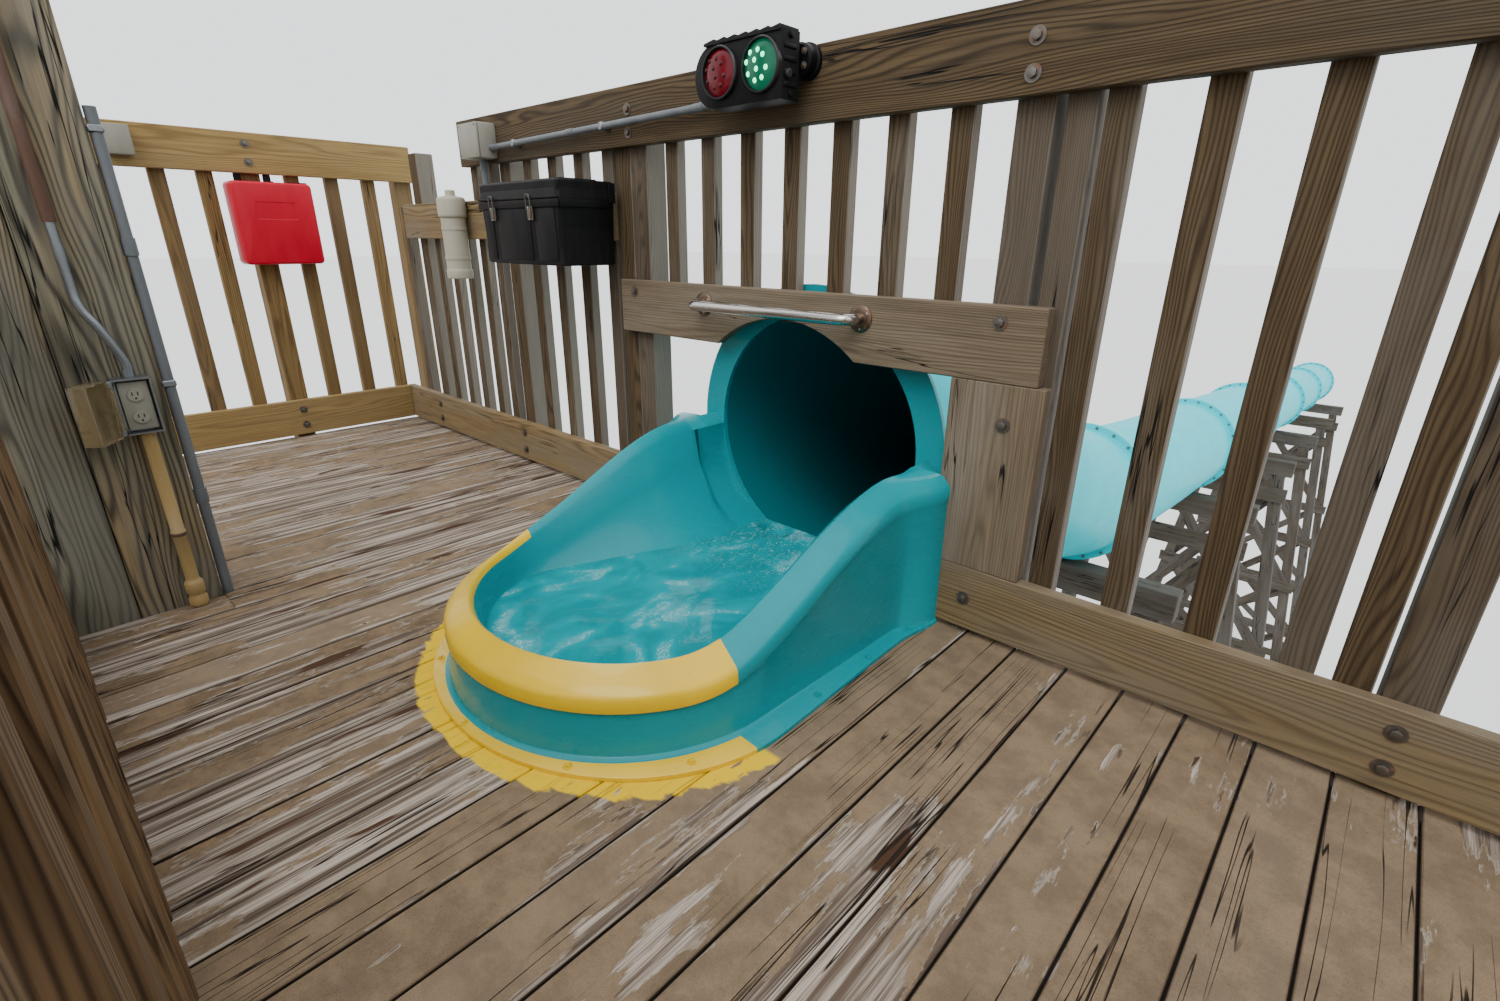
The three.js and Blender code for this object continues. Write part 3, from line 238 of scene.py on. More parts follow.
def wood(name, light, dark, grey, greyness, cracks, ring=0.0055, sides_grey=False, contrast=1.0, swirl=1.0,
         warm=None):
    """Weathered softwood with light and dark rings, and grey where it has faded.

    The grain attribute runs along each board, and tone sets boards apart.
    """
    f = Finish(name)
    grain = f.attribute("grain").outputs["Vector"]
    tone = f.attribute("tone").outputs["Fac"]
    wander = f.node("ShaderNodeTexNoise", Vector=f.scaled(grain, (0.9, 7, 7)), Scale=1.0, Detail=2.0)
    sway = 0.060 * swirl
    bent = f.vector("MULTIPLY_ADD", wander.outputs["Color"], (0.0, sway, sway), grain)
    from_pith = f.vector("LENGTH", f.vector("MULTIPLY", bent, (0, 1, 1))).outputs["Value"]
    rings = f.math("SINE", f.times(from_pith, 2 * math.pi / ring))
    late = f.math("POWER", f.math("MULTIPLY_ADD", rings, 0.5, 0.5), 2.2)
    fibre = f.noise(f.scaled(grain, (5, 260, 260)), detail=4.0, roughness=0.65)
    coarse = f.noise(f.scaled(grain, (2.5, 60, 60)), detail=3.0, distortion=0.3)
    if warm:
        patches = f.noise(f.scaled(grain, (1.4, 6, 6), (5, 2, 8)), detail=2.0)
        light = f.mix(f.band(patches, 0.47, 0.62), light, warm)
        shade = f.mix(1.0, light, (0.72, 0.72, 0.72), "MULTIPLY")
    else:
        shade = darker(light, 0.72)
    pale = f.mix(f.band(coarse, 0.35, 0.68), light, shade)
    body = f.mix(f.times(late, min(0.60 * contrast, 1.0)), pale, dark)
    body = f.mix(f.times(f.band(fibre, 0.45, 0.75), 0.45), body, darker(dark, 0.9))
    weather = f.noise(f.scaled(grain, (1.1, 5, 5), (3, 1, 2)), detail=4.0, roughness=0.6)
    weather = f.math("ADD", weather, f.times(tone, 0.22))
    faded = f.mix(f.times(late, 0.45), grey, darker(grey, 0.45))
    faded = f.mix(f.times(f.band(fibre, 0.4, 0.75), 0.5), faded, darker(grey, 0.55))
    share = f.times(f.band(weather, 0.50, 0.80), greyness)
    if sides_grey:
        sideways = f.part(f.node("ShaderNodeNewGeometry").outputs["Normal"], "X")
        side = f.times(f.band(sideways, 0.4, 0.8), 0.75)
        share = f.math("MAXIMUM", share, side)
    colour = f.mix(share, body, faded)
    colour = f.mix(f.times(tone, 0.35), colour, darker(dark, 1.1))
    split = f.thread(f.noise(f.scaled(grain, (1.3, 38, 38)), detail=2.0, distortion=0.15))
    where = f.noise(f.scaled(grain, (1.7, 9, 9), (7, 5, 1)), detail=1.0)
    cracked = f.band(where, 0.60 - cracks, 0.66 - cracks)
    open_split = f.times(f.band(split, 0.016, 0.004), cracked)
    knot = f.node("ShaderNodeTexVoronoi", Vector=f.scaled(grain, (1.5, 7, 3)), Scale=1.0)
    knot_core = f.band(knot.outputs["Distance"], 0.13, 0.05)
    colour = f.mix(f.times(knot_core, 0.7), colour, darker(dark, 0.45))
    colour = f.mix(open_split, colour, darker(dark, 0.14))
    f.plug("Base Color", colour)
    f.plug("Roughness", f.node("ShaderNodeMapRange", Value=fibre, To_Min=0.72, To_Max=0.95))
    f.set(Specular_IOR_Level=0.25)
    f.bump((late, 0.35, 0.0016), (fibre, 0.5, 0.0012), (open_split, 1.0, -0.004))
    return f.material


# Where the coating turns from mostly worn to mostly whole, along X in the part's frame
WORN_X = (0.55, 1.85)
# Half the width of the yellow paint round the tub, and its reach to the front
YELLOW_HALF = 0.600
YELLOW_REACH = 0.530


def deck_finish(coating):
    """Deck boards: a sandy coating, flaked off bare wood towards the far end and by the seams."""
    f = Finish("deck_coating")
    grain = f.attribute("grain").outputs["Vector"]
    tone = f.attribute("tone").outputs["Fac"]
    side = f.math("ABSOLUTE", f.attribute("across").outputs["Fac"])
    place = f.object_coords()
    fibre = f.noise(f.scaled(grain, (4, 250, 250)), detail=4.0, roughness=0.7)
    streak = f.noise(f.scaled(grain, (1.3, 52, 52)), detail=5.0, roughness=0.65, distortion=0.2)
    wear = f.noise(f.scaled(grain, (1.7, 10, 4)), detail=6.0, roughness=0.66)
    broad = f.noise(place, scale=1.3, detail=4.0, roughness=0.6)
    far = f.band(f.part(place, "X"), WORN_X[1], WORN_X[0])
    bare_share = f.math("ADD", f.times(wear, 0.62), f.times(broad, 0.38))
    bare_share = f.math("ADD", bare_share, f.times(far, 0.070))
    bare_share = f.math("ADD", bare_share, f.times(f.band(side, 0.80, 1.0), 0.035))
    bare = f.band(bare_share, 0.560, 0.568)
    sand = f.noise(place, scale=430.0, detail=2.0, roughness=0.8)
    scuff = f.noise(place, scale=9.0, detail=5.0, roughness=0.7)
    clean = f.mix(f.band(scuff, 0.36, 0.64), darker(coating, 1.12), darker(coating, 0.66))
    clean = f.mix(f.times(tone, 0.35), clean, (0.30, 0.235, 0.165))
    clean = f.mix(f.times(f.band(sand, 0.45, 0.72), 0.5), clean, darker(coating, 0.42))
    planks = f.mix(f.band(streak, 0.40, 0.58), (0.47, 0.395, 0.320), (0.120, 0.085, 0.060))
    planks = f.mix(f.times(f.band(fibre, 0.44, 0.66), 0.65), planks, (0.070, 0.050, 0.035))
    colour = f.mix(bare, clean, planks)
    halo = f.times(f.band(bare_share, 0.548, 0.558), f.math("SUBTRACT", 1.0, bare))
    halo = f.times(halo, f.band(scuff, 0.46, 0.56))
    colour = f.mix(f.times(halo, 0.55), colour, (0.43, 0.38, 0.31))
    split = f.thread(f.noise(f.scaled(grain, (0.8, 30, 30)), detail=2.0))
    where = f.noise(f.scaled(grain, (1.4, 7, 7), (4, 8, 2)), detail=1.0)
    open_split = f.times(f.band(split, 0.010, 0.002), f.band(where, 0.50, 0.56))
    stain = f.noise(f.scaled(grain, (2.4, 15, 15), (9, 3, 5)), detail=3.0, distortion=0.4)
    stain = f.times(f.band(stain, 0.615, 0.66), bare)
    colour = f.mix(stain, colour, (0.062, 0.030, 0.015))
    blot = f.node("ShaderNodeTexVoronoi", Vector=f.scaled(place, (3.1, 3.4, 0)), Scale=1.0)
    blot = f.math("ADD", blot.outputs["Distance"], f.times(scuff, 0.06))
    colour = f.mix(f.times(f.band(blot, 0.062, 0.050), 0.85), colour, (0.030, 0.020, 0.013))
    colour = f.mix(open_split, colour, (0.018, 0.012, 0.008))
    colour = f.mix(f.band(side, 0.965, 0.995), colour, (0.035, 0.024, 0.016))
    colour = f.mix(yellow_strip(f, place, grain), colour, (0.80, 0.52, 0.004))
    f.plug("Base Color", colour)
    f.set(Roughness=0.9, Specular_IOR_Level=0.2)
    f.bump((sand, 0.4, 0.0012), (fibre, 0.4, 0.0012), (f.times(bare, -1.0), 0.6, 0.0025),
           (open_split, 1.0, -0.005))
    return f.material


def yellow_strip(f, place, grain):
    """The share of yellow paint: a ring on the boards round the tub's front, with a ragged outer edge."""
    centre = (SLIDE_X + OFFSET.x, TUB_MIDDLE_Y + OFFSET.y, 0)
    apart = f.vector("SUBTRACT", place, centre).outputs[0]
    reach = f.vector("LENGTH", f.scaled(apart, (1 / YELLOW_HALF, 1 / YELLOW_REACH, 0))).outputs["Value"]
    ragged = f.noise(f.scaled(grain, (30, 9, 1)), detail=2.0)
    edge = f.math("ADD", reach, f.times(ragged, 0.09))
    inside = f.band(edge, 1.055, 1.035)
    before = f.band(f.part(apart, "Y"), -0.055, -0.070)
    worn = f.noise(f.scaled(grain, (14, 60, 60)), detail=3.0)
    return f.times(f.times(inside, before), f.band(worn, 0.30, 0.36))


def gelcoat(name, colour, roughness=0.16, cloud=0.10, dirt_and_seam_shade=0.08, shine=0.30):
    """Glossy laminate with faint clouds, chalking and a little dirt."""
    f = Finish(name)
    place = f.object_coords()
    clouds = f.noise(place, scale=3.0, detail=4.0)
    grime = f.noise(f.scaled(place, (5, 5, 11)), detail=6.0, roughness=0.7)
    body = f.mix(f.times(f.band(clouds, 0.35, 0.7), cloud), colour, darker(colour, 1.7))
    body = f.mix(f.times(f.band(grime, 0.60, 0.78), dirt_and_seam_shade), body, darker(colour, 0.4))
    f.plug("Base Color", body)
    f.plug("Roughness", f.node("ShaderNodeMapRange", Value=grime, To_Min=roughness, To_Max=roughness + 0.22))
    f.set(Coat_Weight=shine * 0.45, Coat_Roughness=0.08, Specular_IOR_Level=shine)
    f.bump((f.noise(place, scale=26.0, detail=2.0), 0.06, 0.003))
    return f.material


def rim_paint(colour):
    """Yellow paint with mottling and dirty scuffs."""
    f = Finish("rim_paint")
    place = f.object_coords()
    scuffs = f.noise(f.scaled(place, (9, 9, 30)), detail=6.0, roughness=0.72)
    body = f.mix(f.band(f.noise(place, scale=4.0, detail=3.0), 0.3, 0.7), colour, darker(colour, 0.86))
    body = f.mix(f.times(f.band(scuffs, 0.62, 0.74), 0.35), body, (0.30, 0.22, 0.08))
    f.plug("Base Color", body)
    f.set(Roughness=0.34, Coat_Weight=0.2)
    f.bump((scuffs, 0.08, 0.0015))
    return f.material


def moulded(name, colour, roughness, dust, grain=0.12, shine=0.3):
    """Moulded plastic or paint with fine grain, dust and faint streaks."""
    f = Finish(name)
    place = f.object_coords()
    fine = f.noise(place, scale=350.0, detail=2.0)
    streaks = f.noise(f.scaled(place, (14, 14, 4)), detail=5.0, roughness=0.65)
    body = f.mix(f.times(f.band(streaks, 0.45, 0.75), dust), colour, (0.36, 0.34, 0.31))
    body = f.mix(f.times(f.band(streaks, 0.55, 0.30), 0.4), body, darker(colour, 0.7))
    f.plug("Base Color", body)
    f.set(Roughness=roughness, Specular_IOR_Level=shine)
    f.bump((fine, grain, 0.0006))
    return f.material


def steel(name, colour, roughness, rust):
    """Bare metal with brushed streaks, and a share of rust."""
    f = Finish(name)
    place = f.object_coords()
    brushed = f.noise(f.scaled(place, (40, 400, 400)), detail=2.0)
    spots = f.noise(place, scale=38.0, detail=5.0, roughness=0.7)
    rusty = f.times(f.band(spots, 0.52, 0.66), rust)
    f.plug("Base Color", f.mix(rusty, colour, (0.17, 0.058, 0.022)))
    f.plug("Metallic", f.math("SUBTRACT", 1.0, rusty))
    rough = f.math("ADD", f.times(brushed, 0.16), roughness - 0.08)
    f.plug("Roughness", f.math("ADD", rough, f.times(rusty, 0.4)))
    f.bump((brushed, 0.05, 0.0003))
    return f.material


def clear_plastic(name, colour, roughness, transmission, glow=None):
    """Coloured or clear plastic that light passes through."""
    f = Finish(name)
    place = f.object_coords()
    haze = f.noise(place, scale=60.0, detail=3.0)
    f.plug("Base Color", f.mix(f.band(haze, 0.4, 0.7), colour, darker(colour, 0.8)))
    f.set(Roughness=roughness, IOR=1.46, Transmission_Weight=transmission, Specular_IOR_Level=0.3)
    if glow:
        f.set(Emission_Color=(*glow[0], 1), Emission_Strength=glow[1])
    f.bump((haze, 0.05, 0.0008))
    return f.material


def water_finish(tub_colour):
    """Shallow water over teal gelcoat, with small painted white glints, and foam towards the tunnel."""
    f = Finish("tub_water")
    place = f.object_coords()
    swell = f.noise(f.scaled(place, (7, 5, 1)), detail=2.0, distortion=0.8)
    ripple = f.noise(f.scaled(place, (26, 17, 1)), detail=3.0, distortion=1.4)
    foam = f.noise(f.scaled(place, (62, 38, 1)), detail=6.0, roughness=0.72, distortion=2.2)
    # Painted glints: thin white streaks in the water's colour on the swells, standing for the sky's
    # reflection
    glint = f.times(f.band(f.thread(foam), 0.016, 0.004), f.band(swell, 0.56, 0.66))
    splash = f.times(f.band(f.part(place, "Y"), 1.00, 1.40), f.band(foam, 0.52, 0.66))
    body = f.mix(f.band(swell, 0.35, 0.65), darker(tub_colour, 0.85), darker(tub_colour, 1.15))
    body = f.mix(f.times(splash, 0.45), body, (0.40, 0.66, 0.68))
    f.plug("Base Color", f.mix(f.times(glint, 0.85), body, (0.78, 0.92, 0.92)))
    f.set(Roughness=0.10, IOR=1.33, Specular_IOR_Level=0.30)
    f.bump((swell, 0.12, 0.02), (ripple, 0.20, 0.006))
    return f.material


FINISHES = {}


def make_finishes(scene):
    """Every finish of the tower, by name."""
    timber, slide, fittings = scene.tower_wood, scene.tower_slide, scene.tower_fittings
    rail = tuple(timber.rail_colour)
    column = tuple(timber.column_colour)
    tub = tuple(slide.tub_colour)
    FINISHES.update({
        "rail": wood("rail_timber", rail, (0.078, 0.048, 0.020), (0.235, 0.200, 0.145), 0.7, -0.02),
        # The top rail's wood is painted darker than the rail's: painted shade for its front faces, which
        # stand in shade
        "top_rail_painted_shade": wood("top_rail_timber_painted_shade", (0.115, 0.076, 0.036), (0.020, 0.012, 0.006),
                         (0.065, 0.056, 0.040), 0.6, -0.02, contrast=1.3, swirl=1.5),
        "near_post": wood("near_post_timber", (0.200, 0.120, 0.055), (0.032, 0.016, 0.007),
                          (0.12, 0.09, 0.06), 0.4, 0.0, contrast=1.4, swirl=1.5),
        "far_rail": wood("far_rail_timber", (0.44, 0.30, 0.105), (0.14, 0.080, 0.030),
                         (0.34, 0.25, 0.12), 0.5, -0.04),
        "far_picket": wood("far_picket_timber", (0.26, 0.165, 0.062), (0.075, 0.040, 0.015),
                           (0.22, 0.165, 0.10), 0.5, -0.02),
        "header": wood("header_timber", (0.205, 0.155, 0.100), (0.060, 0.038, 0.022),
                       (0.24, 0.205, 0.155), 0.85, 0.03, contrast=0.7),
        "picket": wood("picket_timber", (0.110, 0.074, 0.036), (0.026, 0.014, 0.006),
                       (0.27, 0.245, 0.205), 0.35, 0.0, sides_grey=True, contrast=1.3, swirl=1.8),
        "column": wood("column_timber", column, (0.027, 0.023, 0.017), (0.215, 0.205, 0.170), 0.9, 0.05,
                       ring=0.0125, contrast=1.45, swirl=3.0, warm=(0.33, 0.245, 0.130)),
        "frame": wood("frame_timber", (0.26, 0.19, 0.12), (0.08, 0.055, 0.035),
                      (0.27, 0.245, 0.21), 0.9, 0.08),
        "trestle": wood("trestle_timber", (0.090, 0.074, 0.055), (0.024, 0.019, 0.014),
                        (0.125, 0.113, 0.098), 0.9, 0.1),
        "deck": deck_finish(tuple(timber.coating_colour)),
        "tub": gelcoat("tub_gelcoat", tub),
        "rim": rim_paint(tuple(slide.rim_colour)),
        "flume": gelcoat("flume_outside", tuple(slide.flume_colour), roughness=0.3, cloud=0.12, dirt_and_seam_shade=0.12,
                         shine=0.08),
        "flume_inside": gelcoat("flume_inside", darker(tub, 0.55), roughness=0.22),
        "water": water_finish(tub),
        "stainless": steel("stainless_bar", (0.50, 0.475, 0.45), 0.22, rust=0.15),
        "rosette": steel("rusty_rosette", (0.15, 0.105, 0.075), 0.4, rust=0.95),
        "bolt": steel("galvanised_bolt", (0.16, 0.145, 0.125), 0.55, rust=0.95),
        "galvanised": steel("galvanised_box", (0.25, 0.27, 0.285), 0.45, rust=0.2),
        "brown_pipe": moulded("brown_pipe_paint", (0.085, 0.042, 0.026), 0.55, grain=0.4, dust=0.15),
        # Dark strips in the deck's seams: dirt, and painted shade for the dark under the deck
        "dirt_and_seam_shade": moulded("seam_dirt_and_painted_shade", (0.020, 0.014, 0.010), 0.95, grain=0.6, dust=0.05),
        "nail": steel("nail_head", (0.05, 0.03, 0.02), 0.8, rust=1.0),
        "black": moulded("black_plastic", (0.0045, 0.0045, 0.0047), 0.5, grain=0.3, dust=0.02, shine=0.13),
        "black_gloss": moulded("black_bezel", (0.01, 0.01, 0.012), 0.3, dust=0.1),
        "grey_pipe": moulded("grey_conduit_plastic", (0.125, 0.135, 0.145), 0.5, dust=0.12),
        "beige": moulded("beige_plastic", (0.42, 0.39, 0.295), 0.5, dust=0.35),
        "pale_box": moulded("pale_box_plastic", (0.26, 0.25, 0.205), 0.5, dust=0.3),
        "tan": moulded("tan_pipe_plastic", (0.36, 0.245, 0.095), 0.5, dust=0.25),
        "red": moulded("red_moulded_case", tuple(fittings.case_colour), 0.36, grain=0.2, dust=0.03),
        "red_lens": clear_plastic("red_lens_plastic", (0.13, 0.001, 0.007), 0.2, transmission=0.05),
        "red_dot": clear_plastic("red_dot_plastic", (0.055, 0.0, 0.003), 0.25, transmission=0.05),
        "green_lens": clear_plastic("green_lens_plastic", (0.0, 0.075, 0.040), 0.2, transmission=0.05,
                                    glow=((0.0, 0.20, 0.09), 0.35)),
        "green_dot": clear_plastic("green_dot_plastic", (0.1, 0.9, 0.4), 0.2, transmission=0.1,
                                   glow=(tuple(fittings.lit_colour), 3.2)),
        "amber": clear_plastic("yellowed_clear_cover", (0.86, 0.74, 0.50), 0.2, transmission=0.9),
    })


# Shaping

def new_mesh():
    """An empty mesh with the attributes that the wood reads: grain, tone, and the place across a board."""
    bm = bmesh.new()
    bm.verts.layers.float_vector.new("grain")
    bm.verts.layers.float.new("tone")
    bm.verts.layers.float.new("across")
    return bm


def finish_piece(bm, name, materials, replaces=(), body=TOWER, smooth=None):
    """Turns a mesh in the deck's axes into a named piece that rides on a body."""
    bmesh.ops.translate(bm, verts=bm.verts[:], vec=OFFSET)
    mesh = bpy.data.meshes.new(name)
    bm.to_mesh(mesh)
    bm.free()
    for material in materials:
        mesh.materials.append(FINISHES[material])
    if smooth is not None:
        mesh.polygons.foreach_set("use_smooth", [True] * len(mesh.polygons))
        mesh.set_sharp_from_angle(angle=math.radians(smooth))
    piece = bpy.data.objects.new(name, mesh)
    bpy.context.scene.collection.objects.link(piece)
    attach(piece, body)
    if replaces:
        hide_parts(*replaces)


def ease(bm, edges, offset, segments=1):
    """A rounded or chamfered edge."""
    return bmesh.ops.bevel(bm, geom=edges, offset=offset, offset_type="OFFSET", segments=segments,
                           profile=0.5, affect="EDGES", material=-1, clamp_overlap=True)


def edges_of(verts):
    return list({edge for vert in verts for edge in vert.link_edges})


def edges_on(edges, test):
    """The edges with both ends where the test holds."""
    return [edge for edge in edges if all(test(vert.co) for vert in edge.verts)]


def faces_of(verts):
    return list({face for vert in verts for face in vert.link_faces})


def paint(verts, material):
    """Sets the material of the faces that touch these vertices."""
    for face in faces_of(verts):
        face.material_index = material


def turn_outward(bm, verts, material):
    """Turns the faces that touch these vertices outward, and sets their material."""
    bmesh.ops.recalc_face_normals(bm, faces=faces_of(verts))
    paint(verts, material)


def cut(bm, place, across, face=None):
    """Cuts the whole mesh, or only one face, along a plane through place."""
    parts = [face, *face.edges, *face.verts] if face else bm.verts[:] + bm.edges[:] + bm.faces[:]
    bmesh.ops.bisect_plane(bm, geom=parts, plane_co=place, plane_no=across)


def grow(bm, line):
    """Extrudes a line of edges. Gives the new vertices, the new line and the faces between."""
    grown = bmesh.ops.extrude_edge_only(bm, edges=line)["geom"]
    verts = [item for item in grown if isinstance(item, bmesh.types.BMVert)]
    edges = [item for item in grown if isinstance(item, bmesh.types.BMEdge)
             and all(vert in verts for vert in item.verts)]
    return verts, edges, [item for item in grown if isinstance(item, bmesh.types.BMFace)]


def plank(bm, start, end, width, thick, face, rng, edge=0.003, material=0):
    """A board from start to end, with its thickness along face and the grain along its length."""
    start, end, face = Vector(start), Vector(end), Vector(face).normalized()
    along = (end - start).normalized()
    across = face.cross(along)
    turn = Matrix((along, across, face)).transposed()
    middle = (start + end) / 2
    scale = Matrix.Diagonal(((end - start).length, width, thick, 1))
    made = bmesh.ops.create_cube(bm, size=1, matrix=Matrix.Translation(middle) @ turn.to_4x4() @ scale)
    eased = ease(bm, edges_of(made["verts"]), min(edge, thick * 0.2))
    pith = (rng.uniform(0, 40), rng.choice((-1, 1)) * rng.uniform(0.02, 0.09), rng.uniform(0.03, 0.10))
    tone = rng.random()
    layers = bm.verts.layers
    for vert in eased["verts"]:
        local = turn.transposed() @ (vert.co - middle)
        vert[layers.float_vector["grain"]] = local + Vector(pith)
        vert[layers.float["tone"]] = tone
        vert[layers.float["across"]] = 2 * local.y / width
    paint(eased["verts"], material)


def board(bm, low, high, rng, edge=0.003, material=0):
    """A board that fills a box: its grain runs along the longest side, and its face is the thinnest."""
    low, high = Vector(map(min, low, high)), Vector(map(max, low, high))
    size = high - low
    order = sorted(range(3), key=lambda i: size[i])
    thin, long = order[0], order[2]
    face, along = Vector((0, 0, 0)), Vector((0, 0, 0))
    face[thin] = 1
    along[long] = size[long] / 2
    middle = (low + high) / 2
    plank(bm, middle - along, middle + along, size[order[1]], size[thin], face, rng, edge, material)


def block(bm, low, high, edge=0.0, segments=2, material=0):
    """A box with eased edges."""
    low, high = Vector(map(min, low, high)), Vector(map(max, low, high))
    matrix = Matrix.Translation((low + high) / 2) @ Matrix.Diagonal((*(high - low), 1))
    verts = bmesh.ops.create_cube(bm, size=1, matrix=matrix)["verts"]
    if edge:
        verts = ease(bm, edges_of(verts), edge, segments)["verts"]
    paint(verts, material)
    return verts


def facing(axis):
    """A turn that takes Z to the given direction."""
    return Vector((0, 0, 1)).rotation_difference(Vector(axis)).to_matrix().to_4x4()


def rod(bm, centre, axis, radius, depth, sides, material=0, edge=0.0):
    """A round or many-sided bar about its centre."""
    matrix = Matrix.Translation(Vector(centre)) @ facing(axis)
    verts = bmesh.ops.create_cone(bm, cap_ends=True, segments=sides, radius1=radius, radius2=radius,
                                  depth=depth, matrix=matrix)["verts"]
    if edge:
        caps = [e for e in edges_of(verts) if any(len(f.verts) == sides for f in e.link_faces)]
        verts = island(ease(bm, caps, edge, 2)["verts"])
    paint(verts, material)


def turned(bm, profile, centre, steps, axis=(0, 0, 1), material=0):
    """A turned piece from (radius, height) pairs, spun about an axis through centre."""
    verts = [bm.verts.new((radius, 0, height)) for radius, height in profile]
    edges = [bm.edges.new(pair) for pair in zip(verts, verts[1:])]
    spun = bmesh.ops.spin(bm, geom=verts + edges, cent=(0, 0, 0), axis=(0, 0, 1), dvec=(0, 0, 0),
                          angle=2 * math.pi, steps=steps, use_merge=True, use_duplicate=False)
    made = island([vert for vert in (*verts, *spun["geom_last"])
                   if isinstance(vert, bmesh.types.BMVert) and vert.is_valid])
    bmesh.ops.remove_doubles(bm, verts=made, dist=1e-6)
    made = [v for v in made if v.is_valid]
    turn_outward(bm, made, material)
    bmesh.ops.transform(bm, matrix=Matrix.Translation(Vector(centre)) @ facing(axis), verts=made)


def island(seeds):
    """Every vertex that is joined to the seeds."""
    found, queue = set(seeds), list(seeds)
    while queue:
        for edge in queue.pop().link_edges:
            for vert in edge.verts:
                if vert not in found:
                    found.add(vert)
                    queue.append(vert)
    return list(found)


def stations_along(points):
    """A frame at each point of a line, with Z along it, turned as little as possible from the last."""
    places = [Vector(point) for point in points]
    frames = []
    turn = None
    for i, place in enumerate(places):
        before = places[max(i - 1, 0)]
        after = places[min(i + 1, len(places) - 1)]
        way = (after - before).normalized()
        if turn is None:
            turn = Vector((0, 0, 1)).rotation_difference(way)
        else:
            turn = (turn @ Vector((0, 0, 1))).rotation_difference(way) @ turn
        frames.append(Matrix.Translation(place) @ turn.to_matrix().to_4x4())
    return frames


def smooth_line(points, steps):
    """Points on a smooth curve through a few given ones."""
    places = [Vector(point) for point in points]
    places = [2 * places[0] - places[1], *places, 2 * places[-1] - places[-2]]
    line = []
    for i in range(1, len(places) - 2):
        a, b, c, d = places[i - 1:i + 3]
        for step in range(steps):
            t = step / steps
            line.append(0.5 * (2 * b + (c - a) * t + (2 * a - 5 * b + 4 * c - d) * t * t
                               + (3 * b - a - 3 * c + d) * t * t * t))
    line.append(places[-2])
    return line


def pipe(bm, points, radius, sides, material=0):
    """A capped round pipe along a line of points."""
    frames = stations_along(points)
    made = bmesh.ops.create_circle(bm, cap_ends=True, segments=sides, radius=radius, matrix=frames[0])
    verts = list(made["verts"])
    ring = edges_of(verts)
    for last, this in zip(frames, frames[1:]):
        fresh, ring, _ = grow(bm, ring)
        bmesh.ops.transform(bm, matrix=this @ last.inverted(), verts=fresh)
        verts += fresh
    bmesh.ops.edgeloop_fill(bm, edges=ring)
    turn_outward(bm, verts, material)


def hex_bolt(bm, centre, axis, size=0.011, washer=0.019, material=0):
    """A bolt head on a washer. centre lies on the surface, and axis points out of it."""
    axis = Vector(axis).normalized()
    centre = Vector(centre)
    rod(bm, centre + axis * 0.0012, axis, washer, 0.0024, 20, material)
    rod(bm, centre + axis * (0.0024 + size * 0.35), axis, size, size * 0.7, 6, material, edge=size * 0.08)


# Lumber

RAILS = {
    "slide": (0, SLIDE_FACE, 1),
    "landing": (0, LANDING_FACE, -1),
    "near": (0, NEAR_FACE, 1),
    "far": (1, FAR_FACE, -1),
    "right": (1, RIGHT_FACE, 1),
}
PICKET_PITCH = 0.180
# How far the pickets and the posts end under a rail's top
PICKET_DROP = 0.036
POST_DROP = 0.020
TALL = (PICKET_FOOT, PICKET_TOP)
LOW = (PICKET_FOOT, LOW_BOARD[1] - 0.006)


def rail_corners(rail, along, across, heights):
    """The corners of a box on a rail: along it, out from the boards' inner face, and up."""
    axis, face, outward = RAILS[rail]
    depth = [face + outward * distance for distance in across]
    if axis == 0:
        return (along[0], depth[0], heights[0]), (along[1], depth[1], heights[1])
    return (depth[0], along[0], heights[0]), (depth[1], along[1], heights[1])


def rail_board(bm, rail, start, end, heights, rng, material=0):
    board(bm, *rail_corners(rail, (start, end), (0, BOARD), heights), rng, material=material)


def upright(bm, rail, centre, wide, deep, heights, rng):
    """A board that stands on the outside of a rail's boards."""
    along = (centre - wide / 2, centre + wide / 2)
    board(bm, *rail_corners(rail, along, (BOARD + GAP, BOARD + deep), heights), rng, material=1)


def post(bm, rail, centre, top, rng):
    upright(bm, rail, centre, POST, POST, (POST_FOOT, top), rng)


def pickets(bm, rail, start, end, heights, rng):
    """Pickets at an even spacing between two places."""
    bays = round(abs(end - start) / PICKET_PITCH)
    for i in range(1, bays):
        upright(bm, rail, start + (end - start) * i / bays, PICKET, BOARD, heights, rng)


def rail_piece(bm, node, boards="rail", third="top_rail_painted_shade", uprights="picket"):
    """Finishes a rail: material 0 is its boards, 1 its posts and pickets, and 2 a board apart."""
    finish_piece(bm, node + "_boards", [boards, uprights, third], [node])


def build_top_rail():
    """The long board along the top of the slide rail."""
    rng = random.Random(11)
    bm = new_mesh()
    # The top rail's board takes the rail's wood with painted shade
    rail_board(bm, "slide", -3.376, RIGHT_FACE - GAP, TOP_RAIL, rng, 2)
    rail_piece(bm, "slide_top_rail")


MOUTH_LEFT_POST = -2.138
MOUTH_RIGHT_POST = -0.730
KICK_LEFT_END = SLIDE_X - 0.546
KICK_RIGHT_END = SLIDE_X + 0.546


